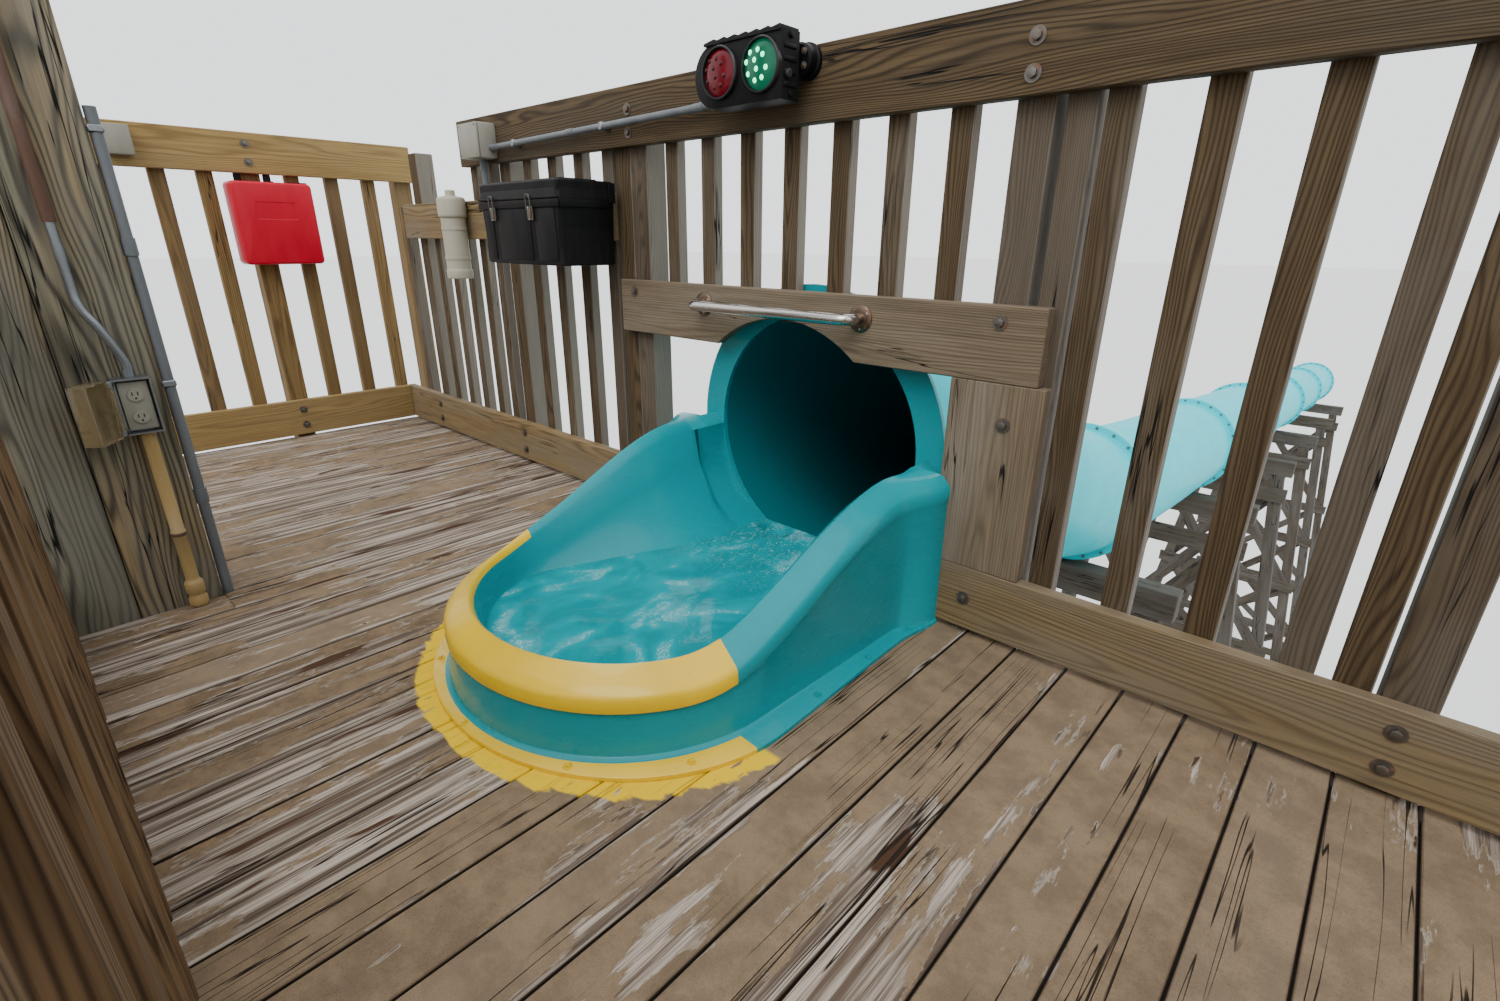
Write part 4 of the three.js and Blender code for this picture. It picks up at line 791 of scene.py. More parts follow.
def build_slide_rail_left():
    """The slide rail from the far corner to the slide's mouth."""
    rng = random.Random(12)
    bm = new_mesh()
    rail_board(bm, "slide", FAR_FACE - BOARD + GAP, KICK_LEFT_END, KICK, rng)
    rail_board(bm, "slide", -4.091, -2.271, LOW_BOARD, rng)
    for place, top in ((-3.972, 1.450), (-3.058, 1.450), (MOUTH_LEFT_POST, PICKET_TOP),
                       (MOUTH_LEFT_POST - POST + 0.0005, PICKET_TOP)):
        post(bm, "slide", place, top, rng)
    pickets(bm, "slide", FAR_FACE, -3.972, LOW, rng)
    pickets(bm, "slide", -3.972, -3.336, LOW, rng)
    upright(bm, "slide", -3.336, PICKET, BOARD, TALL, rng)
    pickets(bm, "slide", -3.336, -3.058, TALL, rng)
    pickets(bm, "slide", -3.058, MOUTH_LEFT_POST, TALL, rng)
    rail_piece(bm, "slide_rail_left")


def build_slide_rail_right():
    """The slide rail from the slide's mouth to the right corner."""
    rng = random.Random(13)
    bm = new_mesh()
    rail_board(bm, "slide", KICK_RIGHT_END, RIGHT_FACE - GAP, KICK, rng)
    rail_board(bm, "slide", -0.844, -0.596, (KICK[1] + GAP, HEADER[0] - GAP), rng, 2)
    post(bm, "slide", MOUTH_RIGHT_POST, PICKET_TOP, rng)
    upright(bm, "slide", -0.628, 0.067, POST, TALL, rng)
    stops = [MOUTH_RIGHT_POST, 0.185, 1.099, 2.013, RIGHT_FACE]
    for place in stops[1:4]:
        post(bm, "slide", place, PICKET_TOP, rng)
    for start, end in zip(stops, stops[1:]):
        pickets(bm, "slide", start, end, TALL, rng)
    upright(bm, "slide", 0.096, PICKET, BOARD, TALL, rng)
    rail_piece(bm, "slide_rail_right", "rail", "header")


NOTCH = {"x": -1.430, "z": 0.385, "radius": 0.435}
HEADER_ENDS = (-2.226, -0.618)
HEADER_CUTS = 20
# The header's place in its log, which sets the rings that show, and its tone
HEADER_PITH = (5.3, 0.055, 0.06)
HEADER_TONE = 0.35


def build_header():
    """The board over the slide's mouth, with an arched notch sawn out of its lower edge."""
    rng = random.Random(14)
    bm = new_mesh()
    start, end = (Vector((x, SLIDE_FACE + BOARD / 2, sum(HEADER) / 2)) for x in HEADER_ENDS)
    plank(bm, start, end, HEADER[1] - HEADER[0], BOARD, (0, 1, 0), rng)
    half = math.acos((HEADER[0] - NOTCH["z"]) / NOTCH["radius"])
    for i in range(HEADER_CUTS + 1):
        x = NOTCH["x"] + NOTCH["radius"] * math.sin(half * (2 * i / HEADER_CUTS - 1))
        cut(bm, (x, 0, 0), (1, 0, 0))
    for vert in bm.verts:
        apart = vert.co.x - NOTCH["x"]
        if vert.co.z < sum(HEADER) / 2 and abs(apart) < NOTCH["radius"] * math.sin(half):
            lift = NOTCH["z"] + math.sqrt(NOTCH["radius"] ** 2 - apart ** 2) - HEADER[0]
            vert.co.z += max(lift, 0)
    place_grain(bm, (start + end) / 2)
    pickets(bm, "slide", MOUTH_LEFT_POST, MOUTH_RIGHT_POST, (HEADER[1] - 0.1, PICKET_TOP), rng)
    rail_piece(bm, "slide_header", "header")


def place_grain(bm, middle):
    """Gives the header's cut vertices the grain of their own place again."""
    layers = bm.verts.layers
    along, across, deep = HEADER_PITH
    for vert in bm.verts:
        apart = vert.co - middle
        vert[layers.float_vector["grain"]] = Vector((apart.x + along, apart.z + across, apart.y + deep))
        vert[layers.float["tone"]] = HEADER_TONE


END_POSTS = (-1.634, -0.731, 0.183, 1.097, 1.842)


def build_end_rail(rail, node, seed):
    """The rail across one end of the deck."""
    rng = random.Random(seed)
    bm = new_mesh()
    rail_board(bm, rail, LANDING_FACE + GAP, SLIDE_FACE - GAP, KICK, rng)
    rail_board(bm, rail, END_POSTS[0] - POST / 2, END_POSTS[-1] + POST / 2, END_TOP_RAIL, rng)
    for place in END_POSTS[1:4]:
        post(bm, rail, place, END_TOP_RAIL[1] - POST_DROP, rng)
    top = END_TOP_RAIL[1] - PICKET_DROP
    for place in (END_POSTS[0], END_POSTS[-1]):
        upright(bm, rail, place, POST, POST, (POST_FOOT + 0.030, top), rng)
    for start, end in zip(END_POSTS, END_POSTS[1:]):
        pickets(bm, rail, start, end, (PICKET_FOOT, top), rng)
    rail_piece(bm, node, "far_rail", "far_rail", "far_picket")


LANDING_POSTS_LEFT = (-3.972, -3.058, -2.144, -1.230, -0.316)
LANDING_POSTS_RIGHT = (1.099, 2.013)
LANDING_ENDS = (-0.2715, 1.0545)


def build_landing_rails():
    """The rails on both sides of the gap where people step on."""
    rng = random.Random(17)
    outer = (FAR_FACE - BOARD + 0.002, RIGHT_FACE + BOARD - 0.002)
    for node, posts, stops, kick, top in (
        ("landing_rail_left", LANDING_POSTS_LEFT, (FAR_FACE, *LANDING_POSTS_LEFT),
         (outer[0], LANDING_ENDS[0]), (FAR_FACE + GAP, LANDING_ENDS[0])),
        ("landing_rail_right", LANDING_POSTS_RIGHT, (*LANDING_POSTS_RIGHT, RIGHT_FACE),
         (LANDING_ENDS[1], outer[1]), (LANDING_ENDS[1], RIGHT_FACE - GAP)),
    ):
        bm = new_mesh()
        rail_board(bm, "landing", *kick, KICK, rng)
        rail_board(bm, "landing", *top, TOP_RAIL, rng)
        for place in posts:
            post(bm, "landing", place, TOP_RAIL[1] - POST_DROP, rng)
        for start, end in zip(stops, stops[1:]):
            pickets(bm, "landing", start, end, (PICKET_FOOT, TOP_RAIL[1] - PICKET_DROP), rng)
        rail_piece(bm, node)


def build_near_rail():
    """The low rail between the two main columns."""
    rng = random.Random(18)
    bm = new_mesh()
    start, end = COLUMN_FACE + GAP, COLUMN_X[1] - COLUMN / 2 - GAP
    top = NEAR_TOP_RAIL[1] - 0.006
    rail_board(bm, "near", start, end, KICK, rng)
    rail_board(bm, "near", start, end, NEAR_TOP_RAIL, rng)
    pickets(bm, "near", start, end, (PICKET_FOOT, top), rng)
    for place in (-1.494, -0.469):
        board(bm, (place - POST / 2, NEAR_FACE - POST, GAP), (place + POST / 2, NEAR_FACE - GAP, top), rng,
              material=1)
    rail_piece(bm, "near_rail", "rail", "top_rail_painted_shade", "near_post")


# Where the seams fall along X, the gap sawn round a column, and the narrowest boards that are laid
SEAM_SHIFT = 0.0235
SAW_GAP = 0.003
THINNEST_STRIP = 0.012
THINNEST_FILLER = 0.015
NAIL_ROWS = (-1.498, -1.081, -0.681, -0.281, 0.469, 0.869, 1.269, 1.706)


def build_deck(timber):
    """Deck boards along Y, sawn out round the columns, with two nails in each row, and dark strips in the
    seams that are dirt and painted shade.
    """
    rng = random.Random(21)
    bm = new_mesh()
    low, high = node_box("deck")
    pitch, seam = timber.plank_pitch, timber.seam
    holes = [(x - COLUMN / 2 - SAW_GAP, x + COLUMN / 2 + SAW_GAP) for x in COLUMN_X]
    hole_y = (node_box("main_column_left_near")[0].y - SAW_GAP,
              node_box("main_column_left_slide")[1].y + SAW_GAP)
    nails, seams = [], []
    x = math.floor((low.x + SEAM_SHIFT) / pitch) * pitch - SEAM_SHIFT
    while x < high.x:
        left, right = max(x + seam / 2, low.x), min(x + pitch - seam / 2, high.x)
        x += pitch
        if right - left < THINNEST_STRIP:
            continue
        hole = next((h for h in holes if h[0] < right and h[1] > left), None)
        sink = rng.uniform(0, 0.0015)
        seams.append((right - 0.0005, right + seam + 0.0005, hole is not None))
        if hole is None:
            board(bm, (left, low.y, low.z), (right, high.y, high.z - sink), rng, edge=0.0035)
        else:
            board(bm, (left, low.y, low.z), (right, hole_y[0], high.z - sink), rng, edge=0.0035)
            board(bm, (left, hole_y[1], low.z), (right, high.y, high.z - sink), rng, edge=0.0035)
            for side in ((left, hole[0]), (hole[1], right)):
                if side[1] - side[0] > THINNEST_FILLER:
                    board(bm, (side[0], hole_y[0], low.z), (side[1], hole_y[1], high.z - sink), rng)
        for y in NAIL_ROWS:
            if hole and hole_y[0] < y < hole_y[1]:
                continue
            for share in (0.2, 0.8):
                wobble = rng.uniform(-0.012, 0.012)
                nails.append((left + (right - left) * share, min(y + wobble, high.y - 0.01), high.z - sink))
    finish_piece(bm, "deck_boards", ["deck"], ["deck"])
    # Dark strips down in the seams, and a plug at each seam's far end: dirt, and painted shade for the dark
    # under the deck that shows through the seams
    bm = new_mesh()
    for left, right, broken in seams[:-1]:
        spans = ((low.y, hole_y[0]), (hole_y[1], high.y)) if broken else ((low.y, high.y),)
        for start, end in spans:
            block(bm, (left, start + 0.002, high.z - 0.019), (right, end - 0.002, high.z - 0.012))
        block(bm, (left, high.y - 0.060, high.z - 0.011), (right, high.y - 0.004, high.z - 0.0008))
    finish_piece(bm, "deck_seam_dirt_and_painted_shade", ["dirt_and_seam_shade"])
    bm = new_mesh()
    for nail in nails:
        rod(bm, Vector(nail) - Vector((0, 0, 0.0005)), (0, 0, 1), 0.0058, 0.0008, 8)
    finish_piece(bm, "deck_nails", ["nail"])


BEAM_TOP = -0.2733
JOISTS_Y = (-1.100, -0.700, -0.300, 0.450, 0.850, 1.250)


def build_deck_frame():
    """The rim and the joists under the deck, and the doubled beams that carry them."""
    rng = random.Random(22)
    bm = new_mesh()
    low, high = node_box("deck_frame")
    for x0, x1, y0, y1 in (
        (low.x, high.x, low.y, low.y + BOARD),
        (low.x, high.x, high.y - BOARD, high.y),
        (low.x, low.x + BOARD, low.y + BOARD, high.y - BOARD),
        (high.x - BOARD, high.x, low.y + BOARD, high.y - BOARD),
        *((low.x + BOARD, high.x - BOARD, y, y + BOARD) for y in JOISTS_Y),
    ):
        board(bm, (x0, y0, BEAM_TOP), (x1, y1, high.z), rng)
    beams = [x - BOARD for x in LEG_X]
    for x in COLUMN_X:
        beams += [x - COLUMN / 2 - GAP - 2 * BOARD, x + COLUMN / 2 + GAP]
    for x in beams:
        for step in (0, BOARD):
            board(bm, (x + step, low.y + 0.02, low.z), (x + step + BOARD - GAP, high.y - 0.02, BEAM_TOP), rng)
    finish_piece(bm, "deck_frame_boards", ["frame"], ["deck_frame"])


def build_columns():
    """Two main columns of two timbers each."""
    rng = random.Random(23)
    for side in ("left", "right"):
        for row in ("near", "slide"):
            node = f"main_column_{side}_{row}"
            low, high = node_box(node)
            bm = new_mesh()
            board(bm, low, high, rng, edge=0.006)
            finish_piece(bm, node + "_timber", ["column"], [node])


BRACE_LEVELS = (-0.700, -2.650, -4.600, -6.550, -8.500)
BRACE_WIDE = 0.184
# Tops of the legs, and of the wider ones in line with the main columns
LEG_TOP = -0.5596
COLUMN_LEG_TOP = -0.2736
LEG_EDGE = 0.005


def lattice(bm, places, face, rng):
    """Level and crossed boards over uprights, in from their outer face at level (X, Y) places."""
    face = Vector(face)
    reach = (Vector(places[-1]) - Vector(places[0])).normalized().to_3d() * (LEG / 2)

    def brace(start, end, back, short):
        thick = BOARD - back - short
        inward = face * (back + thick / 2)
        plank(bm, Vector(start) - inward, Vector(end) - inward, BRACE_WIDE, thick, face, rng)

    for z in BRACE_LEVELS:
        brace(Vector((*places[0], z)) - reach, Vector((*places[-1], z)) + reach, 0.0, 0.0)
    for left, right in zip(places, places[1:]):
        for top, foot in zip(BRACE_LEVELS, BRACE_LEVELS[1:]):
            brace((*left, top), (*right, foot), 0.003, 0.002)
            brace((*left, foot), (*right, top), 0.006, 0.004)


def build_tower_frames():
    """Legs with level and crossed boards on the four sides."""
    rng = random.Random(24)
    uprights = sorted([(x, LEG, LEG_TOP) for x in LEG_X] + [(x, COLUMN, COLUMN_LEG_TOP) for x in COLUMN_X])
    for node, outward in (("slide_side_frame", 1), ("landing_side_frame", -1)):
        low, high = node_box(node)
        outer = high.y if outward > 0 else low.y
        face = outer - outward * BOARD
        bm = new_mesh()
        for x, wide, top in uprights:
            board(bm, (x - wide / 2, face, GROUND), (x + wide / 2, face - outward * LEG, top), rng,
                  edge=LEG_EDGE)
        lattice(bm, [(x, outer) for x, _, _ in uprights], (0, outward, 0), rng)
        finish_piece(bm, node + "_boards", ["frame"], [node])
    middle = sum(COLUMN_Y) / 2
    for node, outward in (("far_end_frame", -1), ("right_end_frame", 1)):
        low, high = node_box(node)
        outer = high.x if outward > 0 else low.x
        face = outer - outward * BOARD
        bm = new_mesh()
        board(bm, (face - outward * LEG, middle - LEG / 2, GROUND), (face, middle + LEG / 2, LEG_TOP), rng,
              edge=LEG_EDGE)
        lattice(bm, [(outer, y) for y in (low.y + LEG / 2, middle, high.y - LEG / 2)], (outward, 0, 0), rng)
        finish_piece(bm, node + "_boards", ["frame"], [node])
    bm = new_mesh()
    board(bm, *node_box("middle_leg"), rng, edge=LEG_EDGE)
    finish_piece(bm, "middle_leg_timber", ["frame"], ["middle_leg"])


# The bents: the cap's height, half the spread of the legs under it, the legs' thickness and slope, a storey's
# height, and where the legs end
BENTS = 6
BENT_CAP = 0.190
BENT_SPREAD = 0.600
BENT_TIMBER = 0.140
BENT_BATTER = 1 / 8
BENT_STOREY = 2.2
BENT_FOOT = GROUND + 0.010


def build_bents():
    """The flume's bents: a cap, two leaning legs, level boards and crossed boards."""
    rng = random.Random(25)
    half = BENT_TIMBER / 2
    for number in range(1, BENTS + 1):
        node = f"bent_{number}"
        low, high = node_box(node)
        y = (low.y + high.y) / 2
        cap_foot = high.z - BENT_CAP

        def spread(z):
            return BENT_SPREAD + (cap_foot - z) * BENT_BATTER

        bm = new_mesh()
        cap_half = BENT_SPREAD + 0.15
        board(bm, (SLIDE_X - cap_half, y - half, cap_foot), (SLIDE_X + cap_half, y + half, high.z), rng,
              edge=LEG_EDGE)
        for side in (-1, 1):
            foot, head = ((SLIDE_X + side * spread(z), y, z) for z in (BENT_FOOT, cap_foot))
            plank(bm, foot, head, BENT_TIMBER, BENT_TIMBER - 0.002, (0, 1, 0), rng, edge=LEG_EDGE)
        run = cap_foot - GROUND - 0.5
        storeys = round(run / BENT_STOREY)
        levels = [cap_foot - 0.25 - run * i / storeys for i in range(storeys + 1)]
        front, back = y - half - BOARD / 2, y + half + BOARD / 2
        for i, z in enumerate(levels):
            reach = spread(z)
            ends = ((SLIDE_X + side * (reach + 0.12), front, z) for side in (-1, 1))
            plank(bm, *ends, BRACE_WIDE, BOARD, (0, 1, 0), rng)
            if i == storeys:
                continue
            below = levels[i + 1]
            for side, depth, thick in ((-1, front + 0.003, BOARD - 0.008), (1, back, BOARD)):
                plank(bm, (SLIDE_X + side * reach, depth, z), (SLIDE_X - side * spread(below), depth, below),
                      BENT_TIMBER, thick, (0, 1, 0), rng)
        finish_piece(bm, node + "_timber", ["trestle"], [node])


# Slide

def smoothstep(value, low, high):
    t = min(max((value - low) / (high - low), 0.0), 1.0)
    return t * t * (3 - 2 * t)


def bore(z, more=0.0):
    """A ring's half widths at the collar and in the flare, which follow the flume's bore at a height."""
    half = math.sqrt(max(BORE ** 2 - (z - COLLAR_Z) ** 2, 0)) + more
    return half, half


# Rings of the tub from its foot, up the outside, over the rim and down the inside. Each holds its half
# width at the front, at the collar and in the flare behind the rail, its reach to the front, and its height
# at the same three.
TUB_RINGS = [
    ((0.556, 0.540, 0.560), 0.490, (0.0003, 0.0003, 0.0003)),
    ((0.556, 0.540, 0.560), 0.490, (0.010, 0.010, 0.010)),
    ((0.552, 0.536, 0.558), 0.486, (0.013, 0.013, 0.013)),
    ((0.500, 0.512, 0.556), 0.468, (0.014, 0.014, 0.014)),
    ((0.489, 0.503, 0.554), 0.457, (0.022, 0.022, 0.022)),
    ((0.478, 0.498, 0.552), 0.444, (0.122, 0.360, 0.376)),
    ((0.481, 0.499, 0.5535), 0.447, (0.125, 0.366, 0.380)),
    ((0.489, 0.500, 0.555), 0.451, (0.128, 0.372, 0.386)),
    ((0.490, 0.500, 0.556), 0.452, (0.136, 0.380, 0.396)),
    ((0.488, 0.498, 0.556), 0.450, (0.160, 0.402, 0.419)),
    ((0.481, 0.490, 0.546), 0.443, (0.169, 0.414, 0.434)),
    ((0.460, 0.470, 0.532), 0.425, (0.184, 0.428, 0.448)),
    ((0.432, 0.445, 0.525), 0.398, (0.203, 0.446, 0.452)),
    ((0.424, 0.436, 0.458), 0.391, (0.210, 0.455, 0.456)),
    ((0.416, 0.428, 0.447), 0.384, (0.205, 0.450, 0.452)),
    ((0.410, *bore(0.42, 0.001)), 0.377, (0.190, 0.420, 0.420)),
    ((0.398, *bore(0.30)), 0.364, (0.125, 0.300, 0.300)),
    ((0.388, *bore(0.18)), 0.352, (0.085, 0.180, 0.180)),
    ((0.366, *bore(0.11)), 0.330, (0.068, 0.110, 0.110)),
    ((0.322, *bore(0.062)), 0.288, (0.062, 0.062, 0.062)),
]
# The painted rings, at the foot and over the rim, and where the paint starts on each side, as a share of
# the reach to the front
FOOT_RINGS = 4
RIM_RINGS = (6, 15)
RIM_START = {1: 0.1667, -1: 0.107}
# The first ring inside the tub, and the step in its wall behind the rail
INSIDE_RING = 15
STEPPED_RINGS = (16, 17)
STEP_OUT = 0.026
STEP_Y = 1.636
# Where along Y the basin turns into the trough, and where the flare starts, is full and ends
TROUGH_TURN = (0.800, 1.570)
FLARE_TURN = (1.520, 1.686)
FLARE_END = 1.687
TUB_REACH = 0.452
TUB_SIDE_Y = [TUB_END_Y, 1.735, FLARE_END + 0.0006, FLARE_END, 1.672, 1.655, STEP_Y, 1.622,
              *(1.600 - 0.030 * i for i in range(20))]
TUB_ROUND = 28


def tub_stations():
    """Places round the horseshoe as (side, reach, Y), from the collar on the right to the one on the left."""
    right = [(1.0, 0.0, y) for y in TUB_SIDE_Y]
    reaches = [math.sin(math.pi / 2 * (i + 0.5) / (TUB_ROUND + 0.5)) for i in range(TUB_ROUND)]
    for reach in sorted([*reaches, *RIM_START.values()]):
        right.append((math.sqrt(1 - reach ** 2), reach, TUB_MIDDLE_Y))
    return right + [(-side, reach, y) for side, reach, y in reversed(right)]


def blended(values, station):
    """A ring's value at a station, from its values at the front, at the collar and in the flare."""
    _, reach, y = station
    front, collar, flare = values
    share = smoothstep(y - reach * TUB_REACH, *TROUGH_TURN)
    flared = 0 if y > FLARE_END else smoothstep(y, *FLARE_TURN)
    level = front + (collar - front) * share
    return level + (flare - level) * flared


def tub_place(number, station):
    """Where a ring of the tub passes a station."""
    half, front, height = TUB_RINGS[number]
    side, reach, y = station
    step = STEP_OUT if number in STEPPED_RINGS and y >= STEP_Y else 0
    x = SLIDE_X + side * (blended(half, station) + step)
    return Vector((x, y - reach * front, blended(height, station)))


def build_tub():
    """The start tub, raised ring by ring from the line of its flange."""
    bm = new_mesh()
    stations = tub_stations()
    ring = [bm.verts.new(tub_place(0, station)) for station in stations]
    first_line = line = [bm.edges.new(pair) for pair in zip(ring, ring[1:])]
    for number in range(1, len(TUB_RINGS)):
        fresh, _, faces = grow(bm, line)
        ring = [next(edge.other_vert(vert) for edge in vert.link_edges if edge.other_vert(vert) in fresh)
                for vert in ring]
        for vert, station in zip(ring, stations):
            vert.co = tub_place(number, station)
        line = [bm.edges.get(pair) for pair in zip(ring, ring[1:])]
        front = (TUB_RINGS[number][1] + TUB_RINGS[number - 1][1]) / 2
        on_rim = RIM_RINGS[0] < number <= RIM_RINGS[1] or number < FOOT_RINGS
        for face in faces:
            centre = face.calc_center_median()
            side = 1 if centre.x > SLIDE_X else -1
            painted = (TUB_MIDDLE_Y - centre.y) / front > RIM_START[side]
            face.material_index = 1 if painted and on_rim else 0
    half = len(stations) // 2
    for level in (line, first_line):
        for left, right in zip(level[:half - 1], reversed(level[half:])):
            for face in bmesh.ops.bridge_loops(bm, edges=[left, right])["faces"]:
                face.material_index = 0
    ends = [edge for edge in bm.edges if edge.is_boundary
            and all(vert.co.y > TUB_END_Y - 0.001 for vert in edge.verts)]
    bmesh.ops.contextual_create(bm, geom=ends)
    bmesh.ops.recalc_face_normals(bm, faces=bm.faces[:])
    finish_piece(bm, "tub_shell", ["tub", "rim"], ["tub"], smooth=40)


def water_edge(station, level):
    """Where still water of a level meets the inside of the tub at a station."""
    inner = [tub_place(number, station) for number in range(INSIDE_RING, len(TUB_RINGS))]
    above, below = next(pair for pair in zip(inner, inner[1:]) if pair[1].z <= level)
    return above.lerp(below, (above.z - level) / (above.z - below.z))


WATER_STEPS = 40


def ripple(place):
    return 0.0022 * math.sin(place.x * 31 + 2 * math.sin(place.y * 17))


def build_water(slide):
    """Still water in the basin, and its shallow run up to the collar."""
    bm = new_mesh()
    rows = []
    stations = tub_stations()
    for station in stations[:len(stations) // 2]:
        fall = 0.004 * smoothstep(station[2], *TROUGH_TURN)
        edge = water_edge(station, slide.water_level - fall)
        half = edge.x - SLIDE_X + 0.002
        y = min(edge.y, TUB_END_Y - 0.004)
        shares = (2 * j / WATER_STEPS - 1 for j in range(WATER_STEPS + 1))
        rows.append([bm.verts.new((SLIDE_X + half * share, y, edge.z)) for share in shares])
    for pair_of_rows in zip(rows, rows[1:]):
        pairs = [pair for row in pair_of_rows for pair in zip(row, row[1:])]
        bmesh.ops.bridge_loops(bm, edges=[bm.edges.get(pair) or bm.edges.new(pair) for pair in pairs])
    rng = random.Random(31)
    for row in rows[1:-1]:
        for vert in row[1:-1]:
            vert.co.z += ripple(vert.co) + rng.uniform(-0.0006, 0.0006)
    bmesh.ops.solidify(bm, geom=bm.faces[:], thickness=0.006)
    bmesh.ops.recalc_face_normals(bm, faces=bm.faces[:])
    finish_piece(bm, "tub_water", ["water"], smooth=60)


TUB_FLANGE_TOP = 0.013


def build_tub_bolts():
    """Small bolts of the tub's flange, painted over with it."""
    bm = new_mesh()
    spots = [(side * 0.527, y, 1) for y in (1.16, 1.38, 1.58) for side in (-1, 1)]
    for turn in map(math.radians, (-64, -34, 0, 34, 64)):
        spots.append((0.528 * math.sin(turn), TUB_MIDDLE_Y - 0.479 * math.cos(turn), 0))
    for out, y, material in spots:
        hex_bolt(bm, (SLIDE_X + out, y, TUB_FLANGE_TOP), (0, 0, 1), 0.006, 0.010, material)
    finish_piece(bm, "tub_bolts", ["rim", "tub"], smooth=40)


def build_collar():
    """The collar round the tunnel's mouth."""
    bm = new_mesh()
    low, high = node_box("tunnel_collar")
    outer, deep = (high.x - low.x) / 2, high.y - low.y
    profile = [(BORE, 0), (outer - 0.002, 0), (outer, 0.002), (outer, deep), (BORE, deep), (BORE, 0)]
    turned(bm, profile, (SLIDE_X, high.y, COLLAR_Z), steps=SLIDE_TURNS, axis=(0, -1, 0))
    finish_piece(bm, "tunnel_collar_ring", ["tub"], ["tunnel_collar"], smooth=40)


# The flume's middle line, as (Y, Z) in the deck's axes, where its sections end, and the steps along each one
FLUME_LINE = [(1.7856, 0.437), (1.850, 0.437), (2.300, 0.350), (3.200, -0.010), (4.000, -0.310),
              (4.650, -0.500), (6.200, -0.700), (7.815, -0.832), (10.962, -1.113), (14.109, -1.394),
              (17.256, -1.675), (20.403, -1.956)]
SECTION_ENDS = [1.7856, 4.650, 7.815, 10.962, 14.109, 17.256, 20.403]
SECTION_STEPS = [28, 16, 4, 4, 4, 4]
# Outer radii of the tube and of its flanges, how thick and rounded those are, how far a section's
# thick end reaches, and the radius that the bolts stand on
TUBE = 0.411
FLANGE = 0.455
FLANGE_THICK = 0.025
FLANGE_LIP = 0.0025
FLANGE_FILLET = 0.008
SHOULDER = 0.034
BOLT_CIRCLE = 0.434
# Steps of the course between two of its places
CURVE_STEPS = 120


def centripetal(points):
    """Points on a smooth curve whose knots are spaced by the root of their distance."""
    places = [Vector(point) for point in points]
    places = [2 * places[0] - places[1], *places, 2 * places[-1] - places[-2]]
    line = []
    for i in range(1, len(places) - 2):
        a, b, c, d = places[i - 1:i + 3]
        knots = [0.0]
        for p, q in ((a, b), (b, c), (c, d)):
            knots.append(knots[-1] + math.sqrt((q - p).length))
        k0, k1, k2, k3 = knots
        for step in range(CURVE_STEPS):
            t = k1 + (k2 - k1) * step / CURVE_STEPS
            a1 = a * ((k1 - t) / (k1 - k0)) + b * ((t - k0) / (k1 - k0))
            a2 = b * ((k2 - t) / (k2 - k1)) + c * ((t - k1) / (k2 - k1))
            a3 = c * ((k3 - t) / (k3 - k2)) + d * ((t - k2) / (k3 - k2))
            b1 = a1 * ((k2 - t) / (k2 - k0)) + a2 * ((t - k0) / (k2 - k0))
            b2 = a2 * ((k3 - t) / (k3 - k1)) + a3 * ((t - k1) / (k3 - k1))
            line.append(b1 * ((k2 - t) / (k2 - k1)) + b2 * ((t - k1) / (k2 - k1)))
    line.append(places[-2])
    return line


class FlumePath:
    """The flume's middle line, measured along its length."""

    def __init__(self):
        self.places = centripetal([(SLIDE_X, y, z) for y, z in FLUME_LINE])
        self.lengths = [0.0]
        for a, b in zip(self.places, self.places[1:]):
            self.lengths.append(self.lengths[-1] + (b - a).length)

    def length_at_y(self, y):
        for i in range(1, len(self.places)):
            if self.places[i].y >= y:
                share = (y - self.places[i - 1].y) / (self.places[i].y - self.places[i - 1].y)
                return self.lengths[i - 1] + share * (self.lengths[i] - self.lengths[i - 1])
        return self.lengths[-1]

    def frame_at(self, length):
        """A frame whose Z runs along the path."""
        length = min(max(length, 0.0), self.lengths[-1])
        i = next((n for n in range(1, len(self.lengths)) if self.lengths[n] >= length), len(self.lengths) - 1)
        share = (length - self.lengths[i - 1]) / (self.lengths[i] - self.lengths[i - 1])
        place = self.places[i - 1].lerp(self.places[i], share)
        ahead, behind = self.places[min(i + 1, len(self.places) - 1)], self.places[max(i - 2, 0)]
        way = (ahead - behind).normalized()
        across = Vector((1, 0, 0))
        return Matrix.Translation(place) @ Matrix((across, way.cross(across), way)).transposed().to_4x4()


